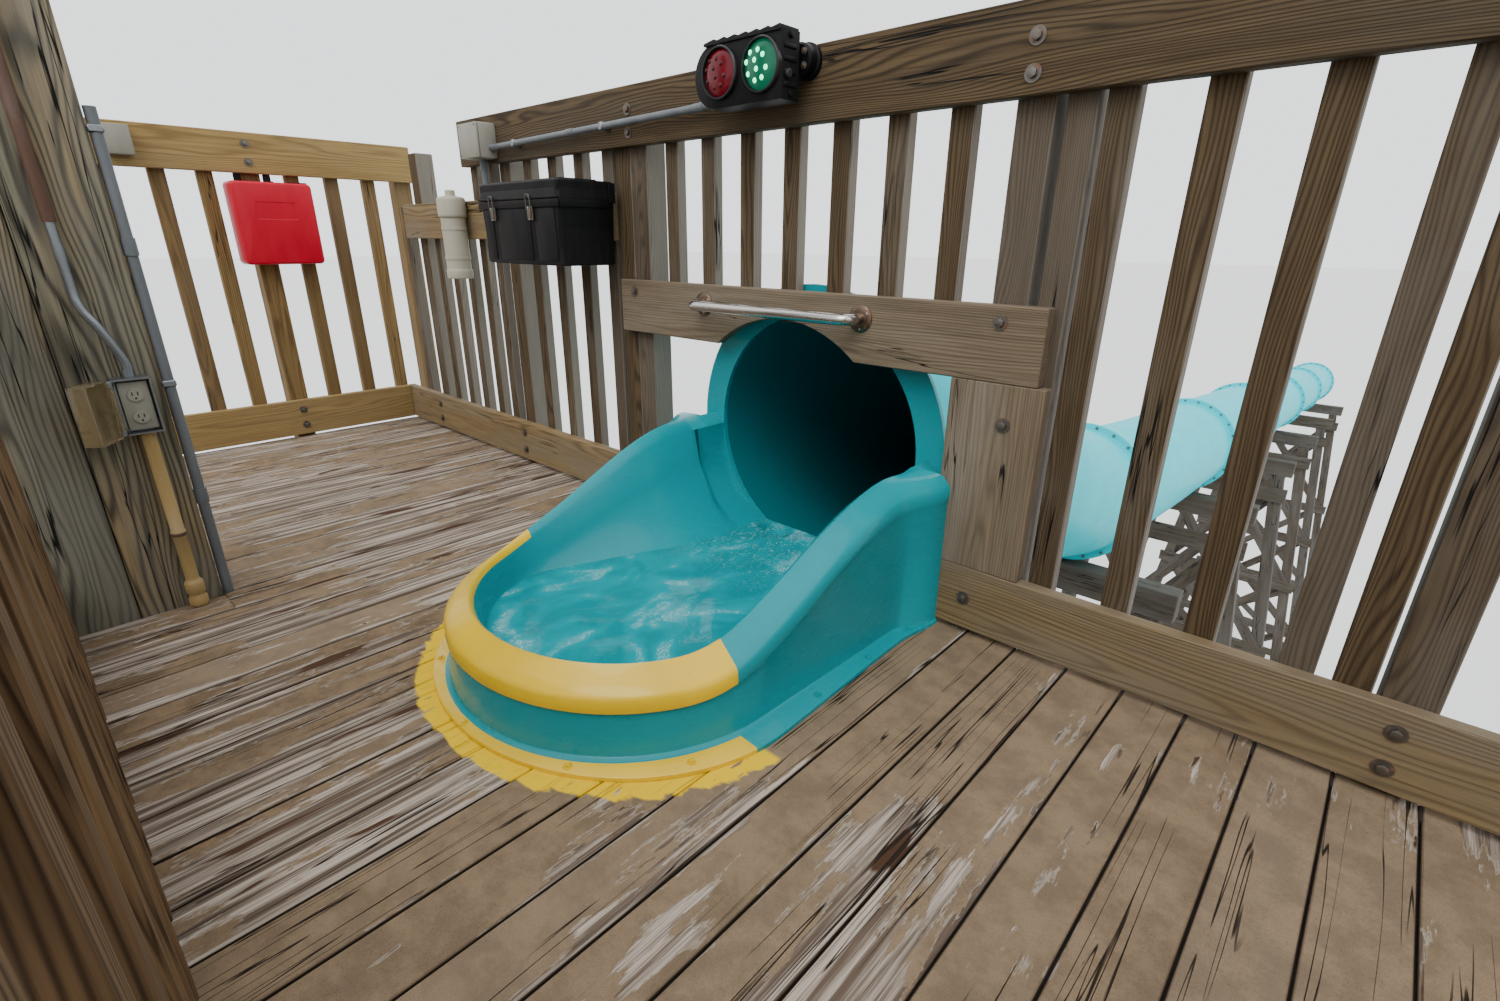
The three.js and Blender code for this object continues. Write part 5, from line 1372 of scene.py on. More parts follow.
def build_flume(fittings):
    """Flume sections with a flange at each end, and bolts round the joints."""
    path = FlumePath()
    bolts = new_mesh()
    sections = zip(SECTION_ENDS, SECTION_ENDS[1:], SECTION_STEPS)
    for number, (start_y, end_y, steps) in enumerate(sections, 1):
        start = path.length_at_y(start_y) + GAP / 2
        end = path.length_at_y(end_y) - GAP / 2
        behind, before = start + FLANGE_THICK, end - FLANGE_THICK
        run = end - start - 2 * SHOULDER
        outer = [(FLANGE - FLANGE_LIP, start), (FLANGE, start + FLANGE_LIP), (FLANGE, behind - FLANGE_LIP),
                 (FLANGE - FLANGE_LIP, behind), (TUBE + FLANGE_FILLET, behind), (TUBE, start + SHOULDER)]
        outer += [(TUBE, start + SHOULDER + run * i / steps) for i in range(1, steps + 1)]
        outer += [(TUBE + FLANGE_FILLET, before), (FLANGE - FLANGE_LIP, before),
                  (FLANGE, before + FLANGE_LIP), (FLANGE, end - FLANGE_LIP), (FLANGE - FLANGE_LIP, end)]
        inner = [(BORE, end - (end - start) * i / steps) for i in range(steps + 1)]
        bm = new_mesh()
        wall_of_rings(bm, path, outer, inner)
        node = f"flume_section_{number}"
        finish_piece(bm, node + "_shell", ["flume", "flume_inside"], [node], smooth=35)
        ring_bolts(bolts, path.frame_at(before), -1, fittings.flange_bolts)
        if number > 1:
            ring_bolts(bolts, path.frame_at(behind), 1, fittings.flange_bolts)
    finish_piece(bolts, "flume_bolts", ["bolt"], smooth=40)


def wall_of_rings(bm, path, outer, inner):
    """A tube's wall: rings along the outside and back along the inside, which close on the first one."""
    turns = [path.frame_at(length) @ Matrix.Diagonal((radius, radius, 1, 1))
             for radius, length in outer + inner]
    first = bmesh.ops.create_circle(bm, cap_ends=False, segments=SLIDE_TURNS, radius=1.0, matrix=turns[0])
    first_ring = ring = edges_of(first["verts"])
    for i in range(1, len(turns)):
        fresh, ring, faces = grow(bm, ring)
        bmesh.ops.transform(bm, matrix=turns[i] @ turns[i - 1].inverted(), verts=fresh)
        for face in faces:
            face.material_index = 1 if i >= len(outer) else 0
    bmesh.ops.bridge_loops(bm, edges=ring + first_ring)
    bmesh.ops.recalc_face_normals(bm, faces=bm.faces[:])


def ring_bolts(bm, place, side, count):
    """Bolt heads round a flange's face."""
    way = place.to_3x3() @ Vector((0, 0, 1))
    for i in range(count):
        angle = 2 * math.pi * (i + 0.5) / count
        spot = place @ Vector((BOLT_CIRCLE * math.cos(angle), BOLT_CIRCLE * math.sin(angle), 0))
        rod(bm, spot + way * side * 0.004, way * side, 0.009, 0.008, 6)


def build_grab_bar():
    """A bent stainless bar on two round rosettes."""
    bm = new_mesh()
    left, right, z = -1.771, -1.136, 0.846
    radius, bend = 0.016, 0.038
    wall, front = SLIDE_FACE - GAP, SLIDE_FACE - 0.072
    near_start = [bend * (1 - math.cos(math.pi / 2 * i / 8)) for i in range(1, 8)]
    near_end = [bend * (1 - math.sin(math.pi / 2 * i / 8)) for i in range(1, 8)]
    points = [(left, wall - 0.004, z), (left, front + bend, z)]
    points += [(left + x, front + y, z) for x, y in zip(near_start, near_end)]
    points += [(left + bend, front, z), (right - bend, front, z)]
    points += [(right - x, front + y, z) for x, y in zip(near_end, near_start)]
    points += [(right, front + bend, z), (right, wall - 0.004, z)]
    pipe(bm, points, radius, 24)
    profile = [(0.0, 0.0), (0.038, 0.0), (0.038, 0.003), (0.035, 0.006), (0.020, 0.008), (0.0, 0.008)]
    for x in (left, right):
        turned(bm, profile, (x, wall, z), steps=32, axis=(0, -1, 0), material=1)
        for turn in (0.6, 2.7, 4.8):
            spot = (x + 0.028 * math.cos(turn), wall - 0.0055, z + 0.028 * math.sin(turn))
            rod(bm, spot, (0, -1, 0), 0.0035, 0.003, 10)
    finish_piece(bm, "grab_bar_steel", ["stainless", "rosette"], ["grab_bar"], smooth=40)


# Signal

# Heights of the signal, and the round of its far corners
SIGNAL = {"rib_top": 1.562, "shell_top": 1.554, "z": 1.478, "round": 0.079}
RIBS = 7
LAMPS = {"red": -1.555, "green": -1.403}
LAMP_RADIUS = 0.059
# The dots on a lamp's face, as (X, Z) from its middle
LAMP_DOTS = ((-0.007, 0.034), (0.011, 0.021), (-0.035, 0.031), (-0.049, 0.011), (0.022, -0.009),
             (-0.042, -0.017), (0.008, -0.030), (-0.017, -0.034), (-0.017, 0.012), (-0.010, -0.009))


def build_signal():
    """A ribbed black housing with a red lamp and a lit green lamp."""
    bm = new_mesh()
    low, high = node_box("signal_housing")
    body_front = low.y + 0.012
    block(bm, (low.x, body_front, low.z), (high.x, high.y, SIGNAL["shell_top"]))
    corners = [edge for edge in bm.edges if abs(edge.verts[0].co.y - edge.verts[1].co.y) > 0.05
               and edge.verts[0].co.x < low.x + 0.01]
    ease(bm, corners, SIGNAL["round"], 12)
    ease(bm, edges_on(bm.edges, lambda co: abs(co.y - body_front) < 1e-5), 0.006, 2)
    outer = LAMP_RADIUS + 0.0065
    profile = [(LAMP_RADIUS, 0.014), (LAMP_RADIUS + 0.001, 0.0), (LAMP_RADIUS + 0.004, 0.0), (outer, 0.003),
               (outer, 0.016), (LAMP_RADIUS, 0.016), (LAMP_RADIUS, 0.014)]
    for x in LAMPS.values():
        turned(bm, profile, (x, low.y, SIGNAL["z"]), steps=48, axis=(0, 1, 0), material=1)
    shell_top, last_rib = SIGNAL["shell_top"], high.x - 0.004
    pitch = (last_rib - (low.x + SIGNAL["round"] - 0.035)) / RIBS
    for i in range(RIBS):
        x = last_rib - pitch * (i + 1)
        verts = block(bm, (x, body_front - 0.004, shell_top - 0.006), (x + pitch, high.y, SIGNAL["rib_top"]))
        for vert in verts:
            if vert.co.z > shell_top and vert.co.x < x + 0.001:
                vert.co.z -= 0.0065
        ease(bm, edges_on(edges_of(verts), lambda co: co.z > shell_top), 0.0025, 2)
    for i in range(4):
        z = low.z + 0.030 + 0.029 * i
        block(bm, (high.x - 0.010, body_front + 0.010, z), (high.x + 0.004, high.y - 0.014, z + 0.012),
              0.003, 2)
    for z in (low.z + 0.016, shell_top - 0.012):
        rod(bm, (high.x + 0.002, high.y - 0.036, z), (1, 0, 0), 0.008, 0.010, 16, edge=0.002)
    rod(bm, (high.x + 0.005, high.y - 0.050, low.z + 0.060), (1, 0, 0), 0.011, 0.014, 20, 1, edge=0.003)
    finish_piece(bm, "signal_shell", ["black", "black_gloss"], ["signal_housing"], smooth=35)
    for colour, x in LAMPS.items():
        build_lens(colour, x, low.y)
    build_signal_bracket()


def build_signal_bracket():
    """A round foot on the rail, and an arm to the housing."""
    bm = new_mesh()
    low, high = node_box("signal_bracket")
    x, z = -1.351, 1.497
    profile = [(0, 0), (0.045, 0), (0.045, 0.010), (0.040, 0.014), (0.040, 0.040), (0.035, 0.0457),
               (0, 0.0457)]
    turned(bm, profile, (x, high.y, z), steps=40, axis=(0, -1, 0))
    block(bm, (low.x, low.y, 1.467), (x, low.y + 0.0257, 1.527), 0.004)
    for z in (1.481, 1.513):
        hex_bolt(bm, (-1.331, SLIDE_FACE - 0.046, z), (0, -1, 0), 0.006, 0.009, 1)
    finish_piece(bm, "signal_bracket_arm", ["black", "bolt"], ["signal_bracket"], smooth=35)


def build_lens(colour, x, front):
    """A domed lens with ten round dots on its face."""
    bm = new_mesh()
    rim = LAMP_RADIUS - 0.0007
    profile = [(0, 0), (rim, 0), (rim, 0.008), (rim * 0.86, 0.0125), (rim * 0.6, 0.0155), (rim * 0.3, 0.0172),
               (0, 0.0177)]
    turned(bm, profile, (x, front + 0.0177, SIGNAL["z"]), steps=40, axis=(0, -1, 0))
    for dx, dz in LAMP_DOTS:
        sunk = 0.0005 + 0.0052 * (math.hypot(dx, dz) / (rim * 0.86)) ** 2
        place = Vector((x + dx, front + sunk, SIGNAL["z"] + dz))
        dome = bmesh.ops.create_uvsphere(bm, u_segments=12, v_segments=6, radius=0.0068,
                                         matrix=Matrix.Translation(place))
        bmesh.ops.scale(bm, vec=(1, 0.5, 1), verts=dome["verts"], space=Matrix.Translation(-place))
        paint(dome["verts"], 1)
    finish_piece(bm, f"signal_{colour}_lamp", [f"{colour}_lens", f"{colour}_dot"],
                 [f"signal_{colour}_lens"], smooth=50)


# Boxes, pipes and cases

def build_rail_conduit():
    """The conduit and its clips on the slide rail, with the junction boxes and the down pipe."""
    bm = new_mesh()
    low, high = node_box("signal_conduit")
    start, end = Vector((low.x, 1.660, 1.405)), Vector((high.x, 1.660, 1.432))
    pipe(bm, [start, end], 0.0115, 16)
    for share in (0.0, 0.36, 0.80):
        place = start.lerp(end, share)
        pipe(bm, [place, place + (end - start).normalized() * 0.045], 0.0133, 16)
    for share in (0.12, 0.5, 0.92):
        place = start.lerp(end, share)
        block(bm, place - Vector((0.010, 0.0125, 0.0133)), place + Vector((0.010, 0.026, 0.0133)),
              0.003, 1, 1)
    finish_piece(bm, "signal_conduit_pipe", ["grey_pipe", "galvanised"], ["signal_conduit"],
                 smooth=40)
    bm = new_mesh()
    low, high = node_box("rail_junction_box")
    block(bm, (low.x, low.y + 0.012, low.z), high, 0.006)
    block(bm, (low.x + 0.001, low.y, low.z + 0.001), (high.x - 0.001, low.y + 0.0115, high.z - 0.001), 0.004)
    for x in (low.x + 0.012, high.x - 0.012):
        for z in (low.z + 0.012, high.z - 0.012):
            rod(bm, (x, low.y + 0.0005, z), (0, -1, 0), 0.004, 0.001, 12, 1)
    finish_piece(bm, "rail_junction_case", ["pale_box", "bolt"], ["rail_junction_box"],
                 smooth=40)
    bm = new_mesh()
    low, high = node_box("rail_down_pipe")
    for foot, head, radius in ((high.z, low.z, 0.0135), (high.z - 0.0003, high.z - 0.040, 0.0168)):
        upright_pipe(bm, (low + high) / 2, foot, head, radius, 16)
    finish_piece(bm, "rail_down_pipe_run", ["grey_pipe"], ["rail_down_pipe"], smooth=40)
    bm = new_mesh()
    low, high = node_box("far_junction_box")
    block(bm, low, (high.x - 0.010, high.y, high.z), 0.005)
    block(bm, (high.x - 0.0095, low.y + 0.001, low.z + 0.001), (high.x, high.y - 0.001, high.z - 0.001),
          0.004)
    finish_piece(bm, "far_junction_case", ["pale_box"], ["far_junction_box"], smooth=40)


def upright_pipe(bm, place, start, end, radius, sides):
    """A straight pipe over a place, between two heights."""
    pipe(bm, [(place.x, place.y, start), (place.x, place.y, end)], radius, sides)


def build_capped_tube():
    """An upright tube with a cap and a knob."""
    bm = new_mesh()
    low, high = node_box("capped_tube")
    middle = (low + high) / 2
    profile = [(0, 0), (0.055, 0), (0.0585, 0.003), (0.059, 0.010), (0.059, 0.036), (0.0575, 0.040),
               (0.0555, 0.043), (0.055, 0.048), (0.055, 0.268), (0.060, 0.271), (0.0628, 0.275),
               (0.063, 0.282), (0.063, 0.344), (0.061, 0.351), (0.056, 0.357), (0.030, 0.361),
               (0.0235, 0.363), (0.0225, 0.368), (0.022, 0.384), (0.019, 0.3875), (0, 0.388)]
    turned(bm, profile, (middle.x, middle.y, low.z), steps=48)
    for z in (0.085, 0.215):
        ring = [(0.0553, z), (0.0572, z + 0.001), (0.0572, z + 0.013), (0.0553, z + 0.014), (0.0553, z)]
        turned(bm, ring, (middle.x, middle.y, low.z), steps=40)
    finish_piece(bm, "capped_tube_case", ["beige"], ["capped_tube"], smooth=35)


def hollow(bm, face, wall, depth):
    """Sinks a face behind a flat rim."""
    bmesh.ops.inset_region(bm, faces=[face], thickness=wall, use_even_offset=True)
    bmesh.ops.inset_region(bm, faces=[face], thickness=0.0004, use_even_offset=True)
    bmesh.ops.translate(bm, verts=face.verts, vec=depth)


LATCHES = (-2.680, -2.415)
TOOLBOX_MIDDLE_X = -2.51
TOOLBOX_RIM = 1.180
TOOLBOX_WALL = 0.005


def draw_latch(bm, x, front):
    """A rusty draw latch: a plate, a lever, a wire bail that reaches up past the seam, and rivets."""
    rim = TOOLBOX_RIM
    block(bm, (x - 0.017, front - 0.0025, rim - 0.070), (x + 0.017, front + 0.003, rim - 0.024), 0.001, 1, 1)
    block(bm, (x - 0.011, front - 0.0065, rim - 0.064), (x + 0.011, front - 0.002, rim - 0.030), 0.0015, 2, 1)
    bail = [(-0.0135, -0.0060, -0.036), (-0.0135, -0.0080, 0.012), (-0.0100, -0.0080, 0.015)]
    bail += [(-out, deep, up) for out, deep, up in reversed(bail)]
    pipe(bm, [(x + out, front + deep, rim + up) for out, deep, up in bail], 0.0018, 8, 1)
    for deep, z in ((-0.0035, rim - 0.066), (-0.007, rim - 0.028)):
        rod(bm, (x, front + deep, z), (0, -1, 0), 0.004, 0.003, 12, 2, edge=0.001)


def build_toolbox():
    """A black toolbox with a rim, raised panels and two latches, and its lid on the hinge."""
    low, high = node_box("toolbox_body")
    rim, side = TOOLBOX_RIM, 0.006
    bm = new_mesh()
    made = block(bm, (low.x + side, low.y + side, low.z), (high.x - side, high.y, rim))
    for vert in made:
        if vert.co.z < rim - 0.001:
            vert.co.x += 0.012 if vert.co.x < TOOLBOX_MIDDLE_X else -0.012
            if vert.co.y < 1.5:
                vert.co.y += 0.006
    upright = [e for e in edges_of(made) if abs(e.verts[0].co.z - e.verts[1].co.z) > 0.1]
    ease(bm, upright, 0.014, 4)
    ease(bm, edges_on(bm.edges, lambda co: co.z < low.z + 0.001), 0.005, 2)
    bm.normal_update()
    top = next(face for face in bm.faces if face.normal.z > 0.9 and face.calc_center_median().z > rim - 0.01)
    hollow(bm, top, TOOLBOX_WALL, (0, 0, low.z + TOOLBOX_WALL - rim))
    block(bm, (low.x, low.y, rim - 0.028), (high.x, low.y + 0.009, rim - 0.001), 0.003, 2)
    for x0, x1 in ((low.x, low.x + 0.009), (high.x - 0.009, high.x)):
        block(bm, (x0, low.y, rim - 0.028), (x1, high.y - 0.032, rim - 0.001), 0.003, 2)
    edges = [low.x + 0.038, *(x + way * 0.017 for x in LATCHES for way in (-1, 1)), high.x - 0.038]
    for x0, x1 in zip(edges[::2], edges[1::2]):
        made = block(bm, (x0, low.y + 0.0035, low.z + 0.014), (x1, low.y + 0.009, rim - 0.031))
        for vert in made:
            if vert.co.z < low.z + 0.02:
                vert.co.y += 0.006
        ease(bm, edges_on(edges_of(made), lambda co: co.y < low.y + 0.0096), 0.0022, 2)
    for way, x in ((1, low.x), (-1, high.x)):
        block(bm, (x, 1.660, rim - 0.010), (x + way * 0.004, high.y, 1.237), 0.001, 1)
        rod(bm, (x + way * 0.010, 1.676, 1.228), (1, 0, 0), 0.004, 0.016, 16, 1)
    for x in LATCHES:
        draw_latch(bm, x, low.y + 0.0005)
    finish_piece(bm, "toolbox_case", ["black", "bolt", "stainless"], ["toolbox_body"],
                 smooth=35)
    build_toolbox_lid()


def build_toolbox_lid():
    """The toolbox's lid, with a lip, raised panels and a keeper for each latch."""
    low, high = node_box("toolbox_lid")
    top = high.z - 0.006
    bm = new_mesh()
    made = block(bm, low, (high.x, high.y, top))
    for vert in made:
        if vert.co.z > top - 0.001:
            vert.co.x += 0.010 if vert.co.x < TOOLBOX_MIDDLE_X else -0.010
            vert.co.y += 0.010 if vert.co.y < 1.55 else -0.004
    front = edges_on(edges_of(made), lambda co: co.y < 1.55)
    ease(bm, [e for e in front if abs(e.verts[0].co.z - e.verts[1].co.z) > 0.03], 0.014, 4)
    bm.normal_update()
    hollow(bm, next(face for face in bm.faces if face.normal.z < -0.9), TOOLBOX_WALL,
           (0, 0, top - TOOLBOX_WALL - 0.003 - low.z))
    cut(bm, (0, high.y - 0.031, 0), (0, 1, 0))
    for vert in bm.verts:
        if vert.co.y > high.y - 0.0305 and vert.co.z < low.z + 0.002:
            vert.co.z += 0.014
    ease(bm, edges_on(bm.edges, lambda co: co.z > top - 0.0005), 0.006, 3)
    for x0, x1 in ((low.x + 0.040, -2.530), (-2.490, high.x - 0.040)):
        block(bm, (x0, 1.487, top - 0.002), (x1, 1.640, high.z - 0.0005), 0.0025, 2)
    block(bm, (low.x - 0.002, low.y - 0.002, low.z + 0.0005), (high.x + 0.002, low.y + 0.003, low.z + 0.008),
          0.0015, 1)
    for x in LATCHES:
        block(bm, (x - 0.007, low.y - 0.003, low.z + 0.005), (x + 0.007, low.y + 0.004, low.z + 0.013),
              0.001, 1, 1)
    finish_piece(bm, "toolbox_lid_case", ["black", "bolt"], ["toolbox_lid"],
                 body="toolbox_lid", smooth=35)


def build_red_case():
    """A moulded case with a shallow sunk panel, two loops over it and black strap ends."""
    bm = new_mesh()
    low, high = node_box("red_case")
    top = 1.297
    made = block(bm, (low.x, low.y, low.z), (high.x, high.y, top))
    corner = [e for e in edges_of(made) if abs(e.verts[0].co.x - e.verts[1].co.x) > 0.02]
    rounded = ease(bm, corner, 0.022, 6)
    front_edges = edges_on(edges_of(island(rounded["verts"])), lambda co: abs(co.x - high.x) < 1e-5)
    ease(bm, front_edges, 0.013, 4)
    front = panel_face(bm, high.x)
    for place, across in (((0, 1.066, 0), (0, 1, 0)), ((0, 1.243, 0), (0, 1, 0)),
                          ((0, 0, 1.125), (0, 0, 1)), ((0, 0, 1.206), (0, 0, 1))):
        cut(bm, place, across, front)
        front = panel_face(bm, high.x)
    bmesh.ops.inset_region(bm, faces=[front], thickness=0.003, depth=-0.0015)
    for y in (1.040, 1.165):
        block(bm, (low.x + 0.008, y - 0.016, top - 0.003),
              (low.x + 0.022, y + 0.016, END_TOP_RAIL[0] - 0.001), 0.002, 1, 1)
    for y, wide in ((1.155, 0.012), (1.256, 0.030), (1.300, 0.012)):
        block(bm, (high.x - 0.040, y - wide, top - 0.004), (high.x - 0.010, y + wide, top + 0.004),
              0.002, 1, 1)
    finish_piece(bm, "red_case_shell", ["red", "black"], ["red_case"], smooth=35)


def panel_face(bm, x):
    """The face of the case's front that holds the middle of its panel."""
    for face in bm.faces:
        ys = [v.co.y for v in face.verts]
        zs = [v.co.z for v in face.verts]
        flat = all(abs(v.co.x - x) < 1e-5 for v in face.verts)
        if flat and min(ys) < 1.15 < max(ys) and min(zs) < 1.16 < max(zs):
            return face
    return None


def build_outlet():
    """The outlet box with its receptacle, the clear cover, and the pipes that meet it."""
    low = Vector((COLUMN_FACE + GAP, 0.196, 0.543))
    high = low + Vector((0.058, 0.080, 0.150))
    hinge = Vector((high.x + 0.007, 0.188, 0.618))
    bm = new_mesh()
    block(bm, low, high)
    bm.normal_update()
    front = [face for face in bm.faces if face.normal.x > 0.9]
    hollow(bm, front[0], 0.004, (-0.036, 0, 0))
    middle = (low + high) / 2
    plate_x = high.x - 0.014
    block(bm, (high.x - 0.037, low.y + 0.008, low.z + 0.010), (plate_x, high.y - 0.008, high.z - 0.010),
          0.003, 2, 1)
    for z in (middle.z - 0.030, middle.z + 0.030):
        rod(bm, (plate_x + 0.002, middle.y, z), (1, 0, 0), 0.017, 0.006, 28, 1)
        for y in (middle.y - 0.006, middle.y + 0.006):
            block(bm, (plate_x + 0.0045, y - 0.0012, z - 0.001), (plate_x + 0.0056, y + 0.0012, z + 0.008),
                  0.0, 1, 2)
        rod(bm, (plate_x + 0.005, middle.y, z - 0.009), (1, 0, 0), 0.0025, 0.0012, 10, 2)
    for z0, z1 in ((low.z + 0.002, low.z + 0.017), (high.z - 0.017, high.z - 0.002)):
        block(bm, (high.x - 0.020, hinge.y - 0.005, z0), (high.x, low.y + 0.004, z1), 0.001, 1)
        block(bm, (high.x - 0.001, hinge.y - 0.005, z0), (hinge.x + 0.005, hinge.y + 0.005, z1), 0.001, 1)
    rod(bm, hinge, (0, 0, 1), 0.003, 0.140, 14)
    for y, z in ((low.y + 0.002, low.z + 0.075), (high.y - 0.002, low.z + 0.075)):
        rod(bm, (high.x - 0.0005, y, z), (1, 0, 0), 0.0018, 0.0008, 8, 3)
    finish_piece(bm, "outlet_box_case", ["galvanised", "pale_box", "black", "bolt"],
                 ["outlet_box"], smooth=35)
    build_outlet_cover(hinge)
    build_outlet_pipes()


# How far open the clear cover stands, in degrees
COVER_SWING = 125


def build_outlet_cover(hinge):
    """The clear cover, shaped as when it is shut and then swung open about its hinge."""
    bm = new_mesh()
    rim, wide, deep, wall, half = -0.002, 0.086, 0.042, 0.003, 0.077
    block(bm, (rim, 0.009, -half), (rim + deep, 0.009 + wide, half))
    bm.normal_update()
    back = [face for face in bm.faces if face.normal.x < -0.9]
    hollow(bm, back[0], wall, (deep - wall, 0, 0))
    bmesh.ops.recalc_face_normals(bm, faces=bm.faces[:])
    outer = edges_on(bm.edges, lambda co: abs(co.x - (rim + deep)) < 1e-5)
    outer += [e for e in bm.edges
              if e.calc_length() > 0.038 and abs(e.verts[0].co.x - e.verts[1].co.x) > 0.03]
    ease(bm, outer, 0.0025, 2)
    block(bm, (rim, 0.004, -0.050), (rim + 0.004, 0.011, 0.050), 0.001, 1)
    profile = [(0.0037, -0.057), (0.007, -0.057), (0.007, 0.057), (0.0037, 0.057), (0.0037, -0.057)]
    turned(bm, profile, (0, 0, 0), steps=20)
    turn = Matrix.Translation(hinge) @ Matrix.Rotation(math.radians(-COVER_SWING), 4, "Z")
    bmesh.ops.transform(bm, matrix=turn, verts=bm.verts[:])
    finish_piece(bm, "outlet_cover_bubble", ["amber"], ["outlet_cover"], body="outlet_cover",
                 smooth=35)


def build_outlet_pipes():
    """The pipes and conduits that stand on the column's face."""
    x = COLUMN_FACE + GAP + 0.028
    bm = new_mesh()
    profile = [(0, 0), (0.0195, 0), (0.0235, 0.006), (0.024, 0.010), (0.024, 0.028), (0.0195, 0.037),
               (0.0195, 0.040), (0.024, 0.048), (0.024, 0.074), (0.0225, 0.080), (0.017, 0.087),
               (0.0165, 0.090), (0.0165, 0.224), (0.019, 0.227), (0.019, 0.243), (0.0165, 0.246),
               (0.0165, 0.5423), (0, 0.5423)]
    turned(bm, profile, (x, 0.240, GAP), steps=28)
    band = [(0.0185, 0.229), (0.0193, 0.230), (0.0193, 0.240), (0.0185, 0.241), (0.0185, 0.229)]
    turned(bm, band, (x, 0.240, GAP), steps=28, material=1)
    finish_piece(bm, "outlet_pipe_run", ["tan", "brown_pipe"], ["outlet_pipe"], smooth=40)
    bm = new_mesh()
    points = smooth_line([(x, 0.237, 0.6933), (x, 0.237, 0.735), (x, 0.209, 0.820), (x - 0.006, 0.184, 0.880),
                          (x - 0.012, 0.180, 0.960), (x - 0.014, 0.180, 1.300), (x - 0.014, 0.180, 1.800),
                          (x - 0.014, 0.180, 2.300)], 8)
    pipe(bm, points, 0.0105, 16)
    pipe(bm, [(x - 0.014, 0.180, 1.080), (x - 0.014, 0.180, 2.2995)], 0.0140, 18, 1)
    pipe(bm, [(x - 0.0135, 0.180, 0.985), (x - 0.0138, 0.180, 1.030)], 0.0118, 16)
    pipe(bm, [(x, 0.237, 0.6934), (x, 0.237, 0.712)], 0.0118, 16)
    finish_piece(bm, "outlet_conduit_run", ["galvanised", "brown_pipe"],
                 ["outlet_conduit"], smooth=40)
    bm = new_mesh()
    low, high = node_box("column_conduit")
    middle = (low + high) / 2
    upright_pipe(bm, middle, low.z, high.z, 0.0138, 18)
    for z in (0.323, 1.022):
        upright_pipe(bm, middle, z - 0.022, z + 0.022, 0.0168, 18)
    for z in (0.66, 1.30):
        block(bm, (middle.x - 0.0165, low.y, z - 0.009), (middle.x + 0.0165, middle.y + 0.0155, z + 0.009),
              0.003, 1, 1)
    finish_piece(bm, "column_conduit_run", ["grey_pipe", "galvanised"], ["column_conduit"],
                 smooth=40)


TOP_BOLTS = (1.394, 1.476)
KICK_BOLTS = (0.068, 0.152)
END_TOP_BOLTS = (1.386, 1.468)
# Bolts round the slide's mouth, as (X, Z)
MOUTH_BOLTS = ((-0.730, 1.464), (-0.730, 1.394), (-0.730, 0.867), (-2.144, 0.868), (-0.690, 0.617),
               (-0.735, 0.110), (-2.138, 1.464), (-2.138, 1.394))


def build_rail_bolts():
    """Bolts of the rails' posts."""
    bm = new_mesh()
    spots = [(x + 0.008, z) for x in (-3.058, 0.185, 1.099, 2.013) for z in TOP_BOLTS]
    spots += [(x - 0.006, z) for x in (-3.972, -3.058, 0.185, 1.099, 2.013) for z in KICK_BOLTS]
    for x, z in (*spots, *MOUTH_BOLTS):
        hex_bolt(bm, (x, SLIDE_FACE, z), (0, -1, 0))
    for y in END_POSTS[1:-1]:
        for z in END_TOP_BOLTS + KICK_BOLTS:
            hex_bolt(bm, (FAR_FACE, y, z), (1, 0, 0))
            hex_bolt(bm, (RIGHT_FACE, y, z), (-1, 0, 0))
    for x in (*LANDING_POSTS_LEFT, *LANDING_POSTS_RIGHT):
        for z in TOP_BOLTS + KICK_BOLTS:
            hex_bolt(bm, (x, LANDING_FACE, z), (0, 1, 0))
    finish_piece(bm, "rail_bolts", ["bolt"], smooth=40)


# Operators

class TowerOperator:
    """What the tower's operators share."""
    bl_options = {"REGISTER", "UNDO"}


class TOWER_OT_finishes(TowerOperator, bpy.types.Operator):
    """Make every finish of the tower"""
    bl_idname = "tower.finishes"
    bl_label = "Finishes"

    def execute(self, context):
        make_finishes(context.scene)
        return {"FINISHED"}


class TOWER_OT_deck(TowerOperator, bpy.types.Operator):
    """Lay the deck boards and their frame"""
    bl_idname = "tower.deck"
    bl_label = "Deck"

    def execute(self, context):
        build_deck(context.scene.tower_wood)
        build_deck_frame()
        return {"FINISHED"}


class TOWER_OT_structure(TowerOperator, bpy.types.Operator):
    """Stand the main columns, the legs, the bracing and the bents"""
    bl_idname = "tower.structure"
    bl_label = "Columns and bents"

    def execute(self, context):
        build_columns()
        build_tower_frames()
        build_bents()
        return {"FINISHED"}


class TOWER_OT_rails(TowerOperator, bpy.types.Operator):
    """Fasten the rails round the deck"""
    bl_idname = "tower.rails"
    bl_label = "Rails"

    def execute(self, context):
        build_top_rail()
        build_slide_rail_left()
        build_slide_rail_right()
        build_header()
        build_end_rail("far", "far_rail", 15)
        build_end_rail("right", "right_end_rail", 16)
        build_landing_rails()
        build_near_rail()
        build_rail_bolts()
        return {"FINISHED"}


class TOWER_OT_tub(TowerOperator, bpy.types.Operator):
    """Form the start tub, its water and the collar"""
    bl_idname = "tower.tub"
    bl_label = "Start tub"

    def execute(self, context):
        build_tub()
        build_water(context.scene.tower_slide)
        build_tub_bolts()
        build_collar()
        return {"FINISHED"}


class TOWER_OT_flume(TowerOperator, bpy.types.Operator):
    """Form the flume's sections and bolt them"""
    bl_idname = "tower.flume"
    bl_label = "Flume"

    def execute(self, context):
        build_flume(context.scene.tower_fittings)
        return {"FINISHED"}


